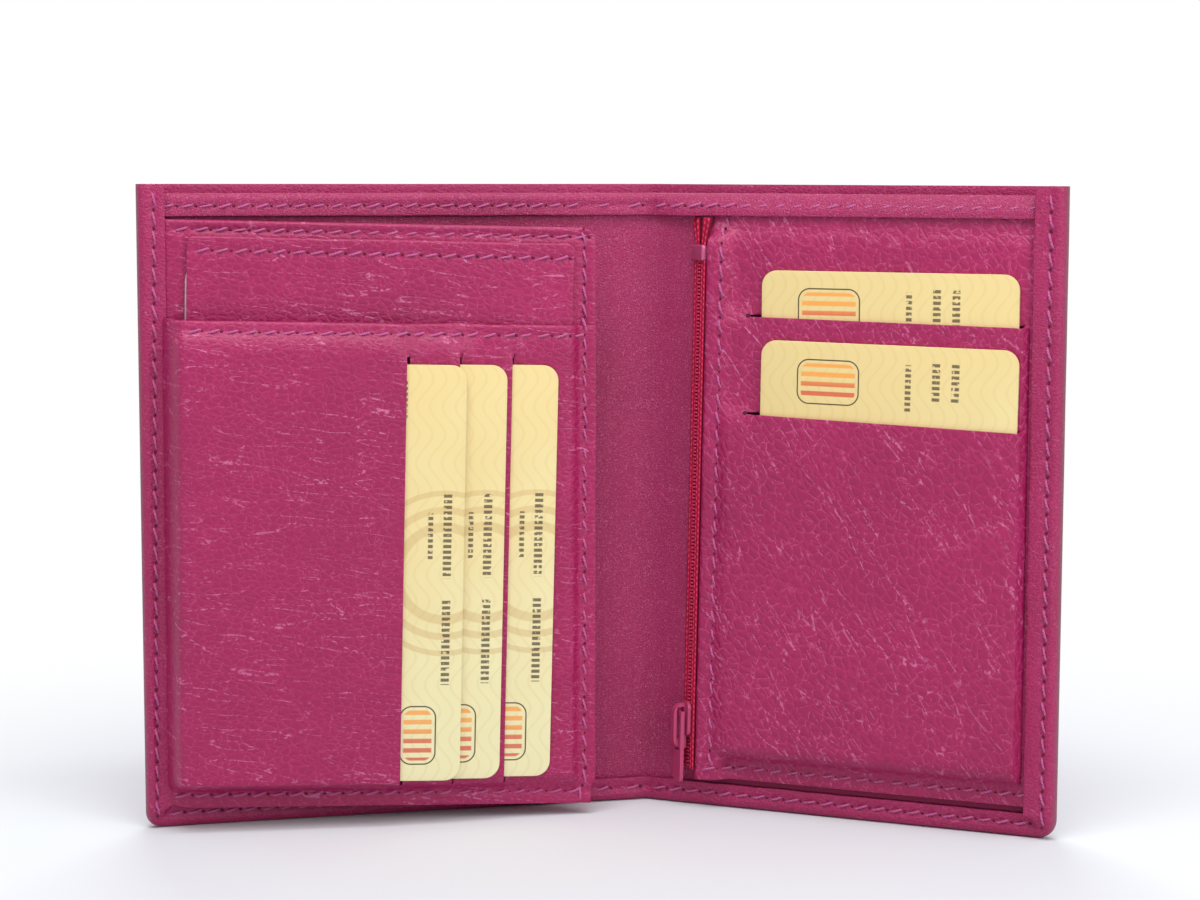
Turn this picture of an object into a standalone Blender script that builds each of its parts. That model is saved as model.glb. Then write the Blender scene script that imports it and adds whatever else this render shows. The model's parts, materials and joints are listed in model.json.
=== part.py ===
"""Compact leather wallet, standing open on its bottom edge.

Each part lies in the frame of the panel that carries it: x runs to the right along the panel,
y away from the reader (the inside of the wallet faces -y) and z up. The inner wall's front face
is y = 0. An empty for each panel puts these frames where the open wallet has them.
"""

import math

import bmesh
import bpy
from mathutils import Euler, Matrix, Vector

MM = 0.001

# cards
CARD_LONG = 85.6 * MM
CARD_SHORT = 53.98 * MM
CARD_THICK = 0.76 * MM
CARD_CORNER = 3.18 * MM

# the open wallet, whose panels are cut around the cards
HEAD_ROOM = 35.1 * MM
SPINE_WIDTH = 13.2 * MM
LEFT_ANGLE = math.radians(15.6)
RIGHT_ANGLE = math.radians(-21.3)
FLAP_ANGLE = math.radians(-5.3)
FLAP_SAG = math.radians(1.3)
FOLD_MOST = math.radians(85)

# clearances
CREASE_GAP = 0.3 * MM
LAYER_GAP = 0.3 * MM
THIN_GAP = 0.25 * MM
CARD_GAP = 0.15 * MM
OVERRUN = 3.0 * MM
WELD_SHARE = 0.001

# cover, inner wall and top band
LEATHER = 0.8 * MM
BILL_GAP = 0.8 * MM
COVER_LEATHER = 1.0 * MM
EDGE_WALL = 1.0 * MM
CORNER_LEFT = 3.2 * MM
CORNER_RIGHT = 3.9 * MM
CORNER_TOP = 1.0 * MM
EDGE_ROUND = 0.45 * MM
HEM_LEFT = 5.5 * MM
HEM_RIGHT = 6.2 * MM
HEM_BOTTOM = 5.0 * MM
WALL_DROP = 1.2 * MM
BAND_TOP_DROP = 0.9 * MM
BAND_HEIGHT = 5.6 * MM
BAND_LIP_HEIGHT = 1.9 * MM
BAND_LEATHER = 0.7 * MM

# card flap on the left, measured from its hinge, from the floor and from the top
ROOT_LEATHER = 0.7 * MM
ROOT_TUCK = 3.6 * MM
FLAP_LEATHER = 0.7 * MM
FLAP_FRONT_LEATHER = 0.5 * MM
FLAP_BOTTOM = 4.5 * MM
FLAP_TOP_DROP = 7.0 * MM
FLAP_MOUTH_RISE = 8.2 * MM
FLAP_CORNER = 3.0 * MM
FLAP_END_GAP = 0.5 * MM
FLAP_FOOT_IN = 0.9 * MM
FLAP_SIDE = 0.5 * MM
FLAP_MARGIN = 3.4 * MM
FLAP_RAMP = 1.6 * MM
FLAP_CARD_LEFT = 3.62 * MM
FLAP_CARD_END = 7.4 * MM
SLIT_PITCH = 10.9 * MM
CARD_1_SHOWS = 12.1 * MM
CARD_2_SHOWS = 9.6 * MM
CARD_3_SHOWS = 9.4 * MM
SLIT_WIDTH = 0.4 * MM
SLIT_SPREAD = 3.0 * MM
SLIT_OVER = 1.5 * MM
FLAP_CARD_FOOT = 10.9 * MM

# pull-out sleeve in the flap
SLEEVE_SIDE = 1.2 * MM
SLEEVE_END = 4.5 * MM
SLEEVE_DROP = 3.2 * MM
SLEEVE_BOTTOM = 14.0 * MM
SLEEVE_CORNER = 1.5 * MM
SLEEVE_LEATHER = 0.6 * MM
WINDOW_THICK = 0.2 * MM
LINING_THICK = 0.2 * MM

# card panel on the right, measured from the right-hand crease
PANEL_LEATHER = 0.6 * MM
PANEL_LEFT_TOP = 14.8 * MM
PANEL_LEFT_FOOT = 12.6 * MM
PANEL_BOTTOM = 6.5 * MM
PANEL_EDGE_LIFT = 4.1 * MM
PANEL_UNDER_HEM = 2.6 * MM
PANEL_HEM_LIFT = 0.9 * MM
PANEL_UNDER_BAND = 1.3 * MM
PANEL_BAND_LIFT = 0.4 * MM
PANEL_RAMP = 5.6 * MM
PANEL_LINING_DROP = 8.4 * MM
PANEL_SLIT_PITCH = 20.5 * MM
SLIT_A_TILT = math.radians(0.95)
SLIT_B_TILT = math.radians(1.74)
PANEL_CARD_IN = 11.5 * MM
PANEL_CARD_END = 8.92 * MM
PANEL_CARD_FOOT = 13.9 * MM
CARD_A_SHOWS = 9.9 * MM
CARD_B_SHOWS = 15.8 * MM
SLIT_SIDE = 2.8 * MM
CARD_B_TILT = math.radians(0.8)
CARD_PLAY = 0.8 * MM

# zip along the panel's left edge
POCKET_FABRIC = 0.3 * MM
ZIP_OUT = 4.3 * MM
ZIP_LIFT = 2.0 * MM
ZIP_TURN = math.radians(-45)
ZIP_LEAN = math.radians(1.07)
ZIP_FOOT = 8.3 * MM
ZIP_HALF_WIDTH = 2.3 * MM
TAPE_THICK = 0.5 * MM
TOOTH_ROOT = 0.75 * MM
TOOTH_TIP = -0.25 * MM
TOOTH_BAR = 0.35 * MM
TOOTH_PITCH = 1.5 * MM
TOOTH_HEIGHT = 0.5 * MM
TOOTH_THICK = 1.1 * MM
CLIP_WIDTH = 3.9 * MM
CLIP_HEIGHT = 3.1 * MM
CLIP_THICK = 0.7 * MM
CLIP_DROP = 9.1 * MM
SLIDER_WIDTH = 4.0 * MM
SLIDER_HEIGHT = 7.2 * MM
SLIDER_CORNER = 1.0 * MM
SLIDER_PLATE = 0.7 * MM
SLIDER_BACK_WIDTH = 2.0 * MM
SLIDER_BACK_PLATE = 0.5 * MM
SLIDER_FOOT = 15.4 * MM
CROWN_WIDTH = 1.4 * MM
CROWN_BAR = 0.7 * MM
CROWN_REACH = 2.6 * MM
CROWN_HEIGHT = 9.6 * MM
CROWN_FOOT = 12.7 * MM
CROWN_LEG = 2.0 * MM
PULL_THICK = 0.8 * MM
PULL_WIDTH = 3.6 * MM
PULL_LENGTH = 15.2 * MM
PULL_CORNER = 1.1 * MM
PULL_BAR = 0.9 * MM
PULL_LEG = 0.7 * MM
PULL_EYE_BELOW = 0.4 * MM
PULL_ABOVE = 0.45 * MM

# how finely round stretches are cut, and which edges count as sharp
CORNER_STEPS = 5
SMALL_STEPS = 3
SHARP_ANGLE = math.radians(35)
BEVEL_ANGLE = math.radians(40)

# colours, roughness and metallic value of each finish
FINISHES = {
    "cover_leather": ((0.30, 0.035, 0.12, 1), 0.5, 0.0),
    "inner_leather": ((0.33, 0.04, 0.13, 1), 0.55, 0.0),
    "flap_leather": ((0.38, 0.05, 0.16, 1), 0.5, 0.0),
    "card_gold": ((0.83, 0.70, 0.35, 1), 0.4, 0.0),
    "clear_film": ((0.92, 0.93, 0.94, 0.4), 0.15, 0.0),
    "lining_fabric": ((0.20, 0.02, 0.07, 1), 0.8, 0.0),
    "zip_tape": ((0.52, 0.01, 0.06, 1), 0.8, 0.0),
    "zip_tooth": ((0.45, 0.02, 0.08, 1), 0.5, 0.0),
    "painted_zip": ((0.42, 0.06, 0.16, 1), 0.35, 0.6),
}

# derived places
HALF_CREASE = CREASE_GAP / 2
FLAP_CARD_TOP = FLAP_CARD_FOOT + CARD_LONG
HEIGHT = FLAP_CARD_TOP + HEAD_ROOM
SLIT_1 = FLAP_CARD_LEFT + CARD_SHORT - CARD_1_SHOWS
FLAP_SLITS = (SLIT_1, SLIT_1 + SLIT_PITCH, SLIT_1 + 2 * SLIT_PITCH)
SLIT_SHOWS = (CARD_1_SHOWS, CARD_2_SHOWS, CARD_3_SHOWS)
FLAP_TOP = HEIGHT - FLAP_TOP_DROP
FLAP_MOUTH = FLAP_CARD_TOP + FLAP_MOUTH_RISE
FLAP_REACH = FLAP_SLITS[-1] + CARD_3_SHOWS + FLAP_CARD_END
FLAP_UPRIGHT = FLAP_REACH * math.cos(FLAP_SAG) + FLAP_TOP * math.sin(FLAP_SAG)
LEFT_WIDTH = HEM_LEFT + LAYER_GAP + FLAP_UPRIGHT + FLAP_END_GAP
PANEL_CARD_LEFT = PANEL_LEFT_TOP + PANEL_CARD_IN
PANEL_CARD_RIGHT = PANEL_CARD_LEFT + CARD_SHORT
RIGHT_WIDTH = PANEL_CARD_RIGHT + PANEL_CARD_END
SLIT_B = PANEL_CARD_FOOT + CARD_LONG - CARD_B_SHOWS
SLIT_A = SLIT_B + PANEL_SLIT_PITCH
BILL_BACK = LEATHER + BILL_GAP
COVER_BACK = BILL_BACK + COVER_LEATHER
ROOT_FRONT = LAYER_GAP + ROOT_LEATHER
LEFT_LIP = ROOT_FRONT + LAYER_GAP
LEFT_LIP_FRONT = LEFT_LIP + LEATHER
BOTTOM_LIP = LAYER_GAP
BOTTOM_LIP_FRONT = BOTTOM_LIP + LEATHER
RIGHT_LIP = PANEL_HEM_LIFT + PANEL_LEATHER + THIN_GAP
RIGHT_LIP_FRONT = RIGHT_LIP + LEATHER
BAND_LIP = PANEL_BAND_LIFT + PANEL_LEATHER + THIN_GAP
BAND_TOP = HEIGHT - BAND_TOP_DROP
BAND_BOTTOM = BAND_TOP - BAND_HEIGHT
PANEL_TOP = BAND_BOTTOM + PANEL_UNDER_BAND
FLAP_BACK_LIFT = BOTTOM_LIP_FRONT + LAYER_GAP
FLAP_BACK_FRONT = FLAP_BACK_LIFT + FLAP_LEATHER
HINGE_LIFT = LEFT_LIP_FRONT + THIN_GAP
WINDOW_LIFT = FLAP_BACK_FRONT + THIN_GAP
SLEEVE_LIFT = WINDOW_LIFT + WINDOW_THICK + THIN_GAP
FLAP_LINING_LIFT = SLEEVE_LIFT + SLEEVE_LEATHER + THIN_GAP
FLAP_BASE_LIFT = FLAP_LINING_LIFT + LINING_THICK + THIN_GAP
FLAP_STEP = FLAP_FRONT_LEATHER + CARD_THICK + 2 * CARD_GAP
FLAP_SLIT_TOP = FLAP_CARD_TOP + SLIT_OVER
FLAP_SLIT_FOOT = FLAP_CARD_FOOT - SLIT_OVER
POCKET_LIFT = LAYER_GAP
PANEL_LINING_LIFT = POCKET_LIFT + POCKET_FABRIC + LAYER_GAP
PANEL_BASE_LIFT = PANEL_LINING_LIFT + LINING_THICK + THIN_GAP
PANEL_STEP = PANEL_LEATHER + CARD_THICK + 2 * CARD_GAP
PANEL_RIGHT = RIGHT_WIDTH - HEM_RIGHT + PANEL_UNDER_HEM
SLEEVE_RIGHT = FLAP_REACH - SLEEVE_END
SLEEVE_TOP = FLAP_TOP - SLEEVE_DROP
ZIP_X = PANEL_LEFT_TOP - ZIP_OUT
CLIP_FOOT = BAND_BOTTOM - CLIP_DROP
TEETH_FOOT = ZIP_FOOT + LAYER_GAP
TEETH_TOP = CLIP_FOOT - LAYER_GAP
PULL_HANG = CROWN_HEIGHT - CROWN_BAR - PULL_BAR - PULL_ABOVE
PULL_EYE_FOOT = PULL_HANG + PULL_EYE_BELOW


def crease_room(lift):
    """How far a piece that stands in front of the fold's axis stays back from the crease."""
    return HALF_CREASE + lift * math.tan(FOLD_MOST / 2)


def clear_scene():
    for thing in list(bpy.data.objects):
        bpy.data.objects.remove(thing, do_unlink=True)


def new_collection(name):
    group = bpy.data.collections.new(name)
    bpy.context.scene.collection.children.link(group)
    return group


def finish(name, slot):
    """A material of its own for one part, in one of the wallet's finishes."""
    colour, rough, metal = FINISHES[slot]
    material = bpy.data.materials.new(name)
    material.use_nodes = True
    shader = material.node_tree.nodes["Principled BSDF"]
    shader.inputs["Base Color"].default_value = colour
    shader.inputs["Roughness"].default_value = rough
    shader.inputs["Metallic"].default_value = metal
    return material


def frame_at(name, place, turn=(0, 0, 0), parent=None):
    """An empty that carries parts, at a place and a turn in its parent's frame."""
    empty = bpy.data.objects.new(name, None)
    empty.location = place
    empty.rotation_euler = turn
    empty.parent = parent
    parts.objects.link(empty)
    return empty


def add_part(name, mesh, frame, slot):
    part = bpy.data.objects.new(name, mesh)
    part.parent = frame
    mesh.materials.append(finish(name, slot))
    mesh.shade_smooth()
    mesh.set_sharp_from_angle(angle=SHARP_ANGLE)
    parts.objects.link(part)
    return part


def rounded(low, high, radii, steps=CORNER_STEPS):
    """Corner points of a box outline, from the lower left one anticlockwise, each with its radius."""
    (x0, z0), (x1, z1) = low, high
    corners = ((x0, z0, 1, 1), (x1, z0, -1, 1), (x1, z1, -1, -1), (x0, z1, 1, -1))
    points = []
    for k, ((x, z, sx, sz), r) in enumerate(zip(corners, radii)):
        if not r:
            points.append((x, z))
            continue
        start = math.pi + k * math.pi / 2
        for i in range(steps + 1):
            a = start + i * math.pi / 2 / steps
            points.append((x + sx * r + r * math.cos(a), z + sz * r + r * math.sin(a)))
    return points


def slab(name, outlines, thickness, along="y"):
    """A flat outline with its holes, filled and given a thickness along y or x.

    Along y an outline's points are (x, z), and along x they are (y, z). The curve is drawn in
    millimetres, because filling a curve loses details smaller than that in metres."""
    curve = bpy.data.curves.new(name, "CURVE")
    curve.dimensions = "2D"
    curve.fill_mode = "BOTH"
    curve.extrude = thickness / MM / 2
    for outline in outlines:
        spline = curve.splines.new("POLY")
        spline.points.add(len(outline) - 1)
        for point, (a, b) in zip(spline.points, outline):
            point.co = (a / MM, b / MM, 0, 1)
        spline.use_cyclic_u = True
    holder = bpy.data.objects.new(name + "_outline", curve)
    parts.objects.link(holder)
    graph = bpy.context.evaluated_depsgraph_get()
    mesh = bpy.data.meshes.new_from_object(holder.evaluated_get(graph))
    bpy.data.objects.remove(holder)
    bpy.data.curves.remove(curve)
    mesh.materials.clear()
    form = bmesh.new()
    form.from_mesh(mesh)
    bmesh.ops.remove_doubles(form, verts=form.verts, dist=WELD_SHARE)
    turn = Matrix.Rotation(math.pi / 2, 4, "X") @ Matrix.Scale(MM, 4)
    if along == "x":
        turn = Matrix.Rotation(math.pi / 2, 4, "Z") @ turn
    bmesh.ops.transform(form, matrix=turn, verts=form.verts)
    bmesh.ops.recalc_face_normals(form, faces=form.faces)
    form.to_mesh(mesh)
    form.free()
    return mesh


def box_mesh(name, low, high):
    low, high = Vector(low), Vector(high)
    form = bmesh.new()
    bmesh.ops.create_cube(form, size=1)
    size = Matrix.Diagonal((*(high - low), 1))
    bmesh.ops.transform(form, matrix=Matrix.Translation((low + high) / 2) @ size, verts=form.verts)
    mesh = bpy.data.meshes.new(name)
    form.to_mesh(mesh)
    form.free()
    return mesh


def round_edges(part, width, segments=2):
    bevel = part.modifiers.new("rounded edges", "BEVEL")
    bevel.width = width
    bevel.segments = segments
    bevel.limit_method = "ANGLE"
    bevel.angle_limit = BEVEL_ANGLE


def cut(part, mesh):
    """Takes a cutter's mesh, in the part's own coordinates, out of the part."""
    tool = bpy.data.objects.new(part.name + "_cutter", mesh)
    tool.parent = part
    tool.hide_render = True
    tool.display_type = "WIRE"
    cutters.objects.link(tool)
    boolean = part.modifiers.new("cut", "BOOLEAN")
    boolean.operation = "DIFFERENCE"
    boolean.object = tool


def place_slab(name, frame, slot, outlines, lift, thickness, edge=0.0):
    """A flat piece whose back face lies a lift in front of the inner wall."""
    part = add_part(name, slab(name, outlines, thickness), frame, slot)
    part.location.y = -lift - thickness / 2
    if edge:
        round_edges(part, edge)
    return part


# cover


def cover_piece(name, frame, x0, x1, hem_left, hem_right):
    """One panel of the outer leather, with its bottom edge, and any outer side edge, turned in.

    A hem is (width, lift of its back, lift of its front, corner radius), or None at a crease."""
    front = max([BOTTOM_LIP_FRONT] + [hem[2] for hem in (hem_left, hem_right) if hem])
    left = x0 if hem_left else x0 - OVERRUN
    right = x1 if hem_right else x1 + OVERRUN
    radii = (
        hem_left[3] if hem_left else 0,
        hem_right[3] if hem_right else 0,
        CORNER_TOP if hem_right else 0,
        CORNER_TOP if hem_left else 0,
    )
    thickness = front + COVER_BACK
    outline = rounded((left, 0), (right, HEIGHT), radii)
    part = add_part(name, slab(name, [outline], thickness), frame, "cover_leather")
    part.location.y = (COVER_BACK - front) / 2
    round_edges(part, EDGE_ROUND)
    shift = Vector((0, -part.location.y, 0))

    def carve(low, high, radii=None):
        if not radii:
            cut(part, box_mesh(name + "_cut", Vector(low) + shift, Vector(high) + shift))
            return
        outline = rounded((low[0], low[2]), (high[0], high[2]), radii)
        mesh = slab(name + "_cut", [outline], high[1] - low[1])
        mesh.transform(Matrix.Translation(Vector((0, (low[1] + high[1]) / 2, 0)) + shift))
        cut(part, mesh)

    beyond = OVERRUN + OVERRUN
    top = HEIGHT + OVERRUN
    inner_left = x0 + EDGE_WALL if hem_left else x0 - beyond
    inner_right = x1 - EDGE_WALL if hem_right else x1 + beyond
    raw_left = x0 + hem_left[0] if hem_left else x0 - beyond
    raw_right = x1 - hem_right[0] if hem_right else x1 + beyond
    inner_radii = tuple(max(r - EDGE_WALL, 0) for r in radii[:2]) + (0, 0)
    carve((inner_left, -BOTTOM_LIP, EDGE_WALL), (inner_right, BILL_BACK, top), inner_radii)
    for hem, low, high in ((hem_left, inner_left, raw_left), (hem_right, raw_right, inner_right)):
        if hem:
            carve((low, -hem[1], HEM_BOTTOM), (high, 0, top))
    carve((raw_left, -front - OVERRUN, HEM_BOTTOM), (raw_right, 0, top))
    if front > BOTTOM_LIP_FRONT:
        carve((raw_left, -front - OVERRUN, -OVERRUN), (raw_right, -BOTTOM_LIP_FRONT, top))
    room = crease_room(BOTTOM_LIP_FRONT)
    if not hem_left:
        carve((left - OVERRUN, -front - OVERRUN, -OVERRUN), (x0 + room, 0, top))
        carve((left - OVERRUN, -front - OVERRUN, -OVERRUN), (x0, COVER_BACK + OVERRUN, top))
    if not hem_right:
        carve((x1 - room, -front - OVERRUN, -OVERRUN), (right + OVERRUN, 0, top))
        carve((x1, -front - OVERRUN, -OVERRUN), (right + OVERRUN, COVER_BACK + OVERRUN, top))
    return part


def inner_wall(name, frame, x0, x1, foot_radii):
    outline = rounded((x0, EDGE_WALL + LAYER_GAP), (x1, HEIGHT - WALL_DROP), foot_radii + (0, 0))
    return place_slab(name, frame, "inner_leather", [outline], -LEATHER, LEATHER)


def top_band(name, frame, x0, x1, lip):
    """The band along the top. A lip below its seam covers the top edge of what ends there."""
    front = -max(lip, LAYER_GAP) - BAND_LEATHER
    profile = [(-LAYER_GAP, BAND_TOP), (-LAYER_GAP - BAND_LEATHER, BAND_TOP)]
    if lip:
        seat = BAND_BOTTOM + BAND_LIP_HEIGHT
        profile += [(front, seat + BAND_LIP_HEIGHT / 2), (front, BAND_BOTTOM)]
        profile += [(-lip, BAND_BOTTOM), (-lip, seat), (-LAYER_GAP, seat)]
    else:
        profile += [(front, BAND_BOTTOM), (-LAYER_GAP, BAND_BOTTOM)]
    part = add_part(name, slab(name, [profile], x1 - x0, "x"), frame, "inner_leather")
    part.location.x = (x0 + x1) / 2
    return part


# leather with card slits


def smooth(value, low, high):
    t = min(max((value - low) / (high - low), 0), 1)
    return t * t * (3 - 2 * t)


def leather_form(name, columns, rows, place, gone):
    """A leather sheet as a grid of columns and rows. place gives a point's x, lift and z."""
    form = bmesh.new()
    across, up = len(columns) - 1, len(rows) - 1
    bmesh.ops.create_grid(form, x_segments=across, y_segments=up, size=1)
    cells = {}
    for vert in form.verts:
        i = round((vert.co.x + 1) / 2 * across)
        j = round((vert.co.y + 1) / 2 * up)
        cells[vert] = (columns[i], rows[j])
    holes = []
    for face in form.faces:
        middle = sum((Vector(cells[v]) for v in face.verts), Vector((0, 0))) / len(face.verts)
        if gone(*middle):
            holes.append(face)
    for vert, cell in cells.items():
        x, lift, z = place(*cell)
        vert.co = (x, -lift, z)
    bmesh.ops.delete(form, geom=holes, context="FACES")
    bmesh.ops.recalc_face_normals(form, faces=form.faces)
    if sum(face.normal.y * face.calc_area() for face in form.faces) > 0:
        bmesh.ops.reverse_faces(form, faces=form.faces)
    mesh = bpy.data.meshes.new(name)
    form.to_mesh(mesh)
    form.free()
    return mesh


def add_thickness(part, thickness):
    solid = part.modifiers.new("leather", "SOLIDIFY")
    solid.thickness = thickness
    solid.offset = 1


def flap_right(v):
    """The flap's free edge: upright in the wing's frame, so that it clears the crease when shut.

    At the foot it is drawn in, to clear the spine's bottom hem."""
    drawn_in = FLAP_FOOT_IN * smooth(-v, -FLAP_SLIT_FOOT, -FLAP_BOTTOM - FLAP_MARGIN)
    return (FLAP_UPRIGHT - drawn_in - v * math.sin(FLAP_SAG)) / math.cos(FLAP_SAG)


def flap_front(frame):
    """The flap's front leather: each slit's left lip lies over its card, and its right lip under it."""
    half = SLIT_WIDTH / 2
    inner_end = flap_right(FLAP_TOP) - FLAP_MARGIN
    columns = [FLAP_SIDE, FLAP_SIDE + FLAP_RAMP, SLIT_1 / 2]
    for slit in FLAP_SLITS:
        columns += [slit - SLIT_SPREAD, slit - half, slit + half, slit + SLIT_SPREAD]
    columns += [inner_end - FLAP_RAMP, inner_end, inner_end + FLAP_MARGIN]
    rows = [FLAP_BOTTOM, FLAP_BOTTOM + FLAP_MARGIN / 2, FLAP_BOTTOM + FLAP_MARGIN, FLAP_SLIT_FOOT]
    rows += [FLAP_CARD_FOOT, (FLAP_CARD_FOOT + FLAP_CARD_TOP) / 2, FLAP_CARD_TOP, FLAP_SLIT_TOP]
    rows += [FLAP_SLIT_TOP + SLIT_OVER / 2, (FLAP_SLIT_TOP + FLAP_MOUTH) / 2, FLAP_MOUTH]

    def lift_at(u, v):
        outside = max(smooth(v, FLAP_CARD_TOP, FLAP_SLIT_TOP + SLIT_OVER / 2),
                      smooth(-v, -FLAP_CARD_FOOT, -FLAP_SLIT_FOOT + SLIT_OVER / 2))
        steps = 0
        for slit in FLAP_SLITS:
            sharp = 1 if u < slit else 0
            gentle = 1 - smooth(u, slit - SLIT_SPREAD, slit + SLIT_SPREAD)
            steps += sharp * (1 - outside) + gentle * outside
        lift = FLAP_BASE_LIFT + steps * FLAP_STEP
        sewn = max(smooth(u, inner_end - FLAP_RAMP, inner_end),
                   smooth(-v, -FLAP_SLIT_FOOT, -FLAP_BOTTOM - FLAP_MARGIN / 2))
        return lift + (FLAP_BACK_FRONT + THIN_GAP - lift) * sewn

    def place(u, v):
        end = flap_right(v) - inner_end - FLAP_MARGIN
        slide = end * smooth(u, inner_end, inner_end + FLAP_MARGIN)
        return u + slide, lift_at(u, v) - HINGE_LIFT, v

    def gone(u, v):
        return any(abs(u - s) < half for s in FLAP_SLITS) and FLAP_SLIT_FOOT < v < FLAP_SLIT_TOP

    mesh = leather_form("flap_front", columns, rows, place, gone)
    part = add_part("flap_front", mesh, frame, "flap_leather")
    add_thickness(part, FLAP_FRONT_LEATHER)
    return part


def card_panel(frame):
    """The right-hand panel: above each slit the leather lies behind the card, below it in front."""
    half = SLIT_WIDTH / 2
    slit_left = PANEL_CARD_LEFT - SLIT_SIDE
    flat_left = PANEL_CARD_LEFT - CARD_PLAY
    flat_right = PANEL_CARD_RIGHT + CARD_PLAY
    slit_right = flat_right + half
    hem_start = RIGHT_WIDTH - HEM_RIGHT
    columns = [PANEL_LEFT_TOP, PANEL_LEFT_TOP + SLIT_SIDE, slit_left - SLIT_SIDE, slit_left]
    columns += [flat_left, (flat_left + flat_right) / 2, flat_right]
    ramp_end = hem_start - PANEL_LEATHER - CARD_GAP
    columns += [slit_right, ramp_end, PANEL_RIGHT]
    ramp = PANEL_BOTTOM + PANEL_RAMP
    rows = [PANEL_BOTTOM, PANEL_BOTTOM + SLIT_SIDE, ramp, (ramp + SLIT_B) / 2]
    for slit in (SLIT_B, SLIT_A):
        rows += [slit - SLIT_SPREAD, slit - half, slit + half, slit + SLIT_SPREAD]
    rows += [(SLIT_A + BAND_BOTTOM) / 2, BAND_BOTTOM - PANEL_RAMP]
    rows += [BAND_BOTTOM - SLIT_SIDE / 2, PANEL_TOP]

    def lift_at(x, z):
        beside = max(smooth(-x, -flat_left, -slit_left), smooth(x, flat_right, hem_start))
        steps = 0
        for slit in (SLIT_B, SLIT_A):
            sharp = 1 if z < slit else 0
            gentle = 1 - smooth(z, slit - SLIT_SPREAD, slit + SLIT_SPREAD)
            steps += sharp * (1 - beside) + gentle * beside
        lift = PANEL_BASE_LIFT + steps * PANEL_STEP
        rolled = smooth(-x, -slit_left + SLIT_SIDE, -PANEL_LEFT_TOP - SLIT_SIDE)
        lift += (PANEL_EDGE_LIFT - lift) * rolled
        below = smooth(-z, -ramp, -PANEL_BOTTOM - SLIT_SIDE) * (1 - rolled)
        above = smooth(z, BAND_BOTTOM - PANEL_RAMP, BAND_BOTTOM - SLIT_SIDE / 2)
        lift += (PANEL_HEM_LIFT - lift) * max(smooth(x, slit_right, ramp_end), below)
        return lift + (PANEL_BAND_LIFT - lift) * above

    def place(x, z):
        edge = smooth(-x, -slit_left, -PANEL_LEFT_TOP)
        lean = (PANEL_LEFT_FOOT - PANEL_LEFT_TOP) * (PANEL_TOP - z) / (PANEL_TOP - PANEL_BOTTOM)
        tilt = 0
        for slit, angle in ((SLIT_B, SLIT_B_TILT), (SLIT_A, SLIT_A_TILT)):
            near = 1 - min(abs(z - slit) / (SLIT_A - SLIT_B), 1)
            tilt += math.tan(angle) * near
        middle = (PANEL_CARD_LEFT + PANEL_CARD_RIGHT) / 2
        return x + lean * edge, lift_at(x, z), z - tilt * (x - middle)

    def gone(x, z):
        return any(abs(z - s) < half for s in (SLIT_A, SLIT_B)) and slit_left < x < slit_right

    mesh = leather_form("card_panel", columns, rows, place, gone)
    part = add_part("card_panel", mesh, frame, "inner_leather")
    add_thickness(part, PANEL_LEATHER)
    return part


def card(name, frame, x0, z0, lift, tilt=0.0):
    half_w, half_h = CARD_SHORT / 2, CARD_LONG / 2
    outline = rounded((-half_w, -half_h), (half_w, half_h), (CARD_CORNER,) * 4)
    part = add_part(name, slab(name, [outline], CARD_THICK), frame, "card_gold")
    part.location = (x0 + half_w, -lift - CARD_THICK / 2, z0 + half_h)
    part.rotation_euler = (0, tilt, 0)
    return part


# flap on the left


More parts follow.
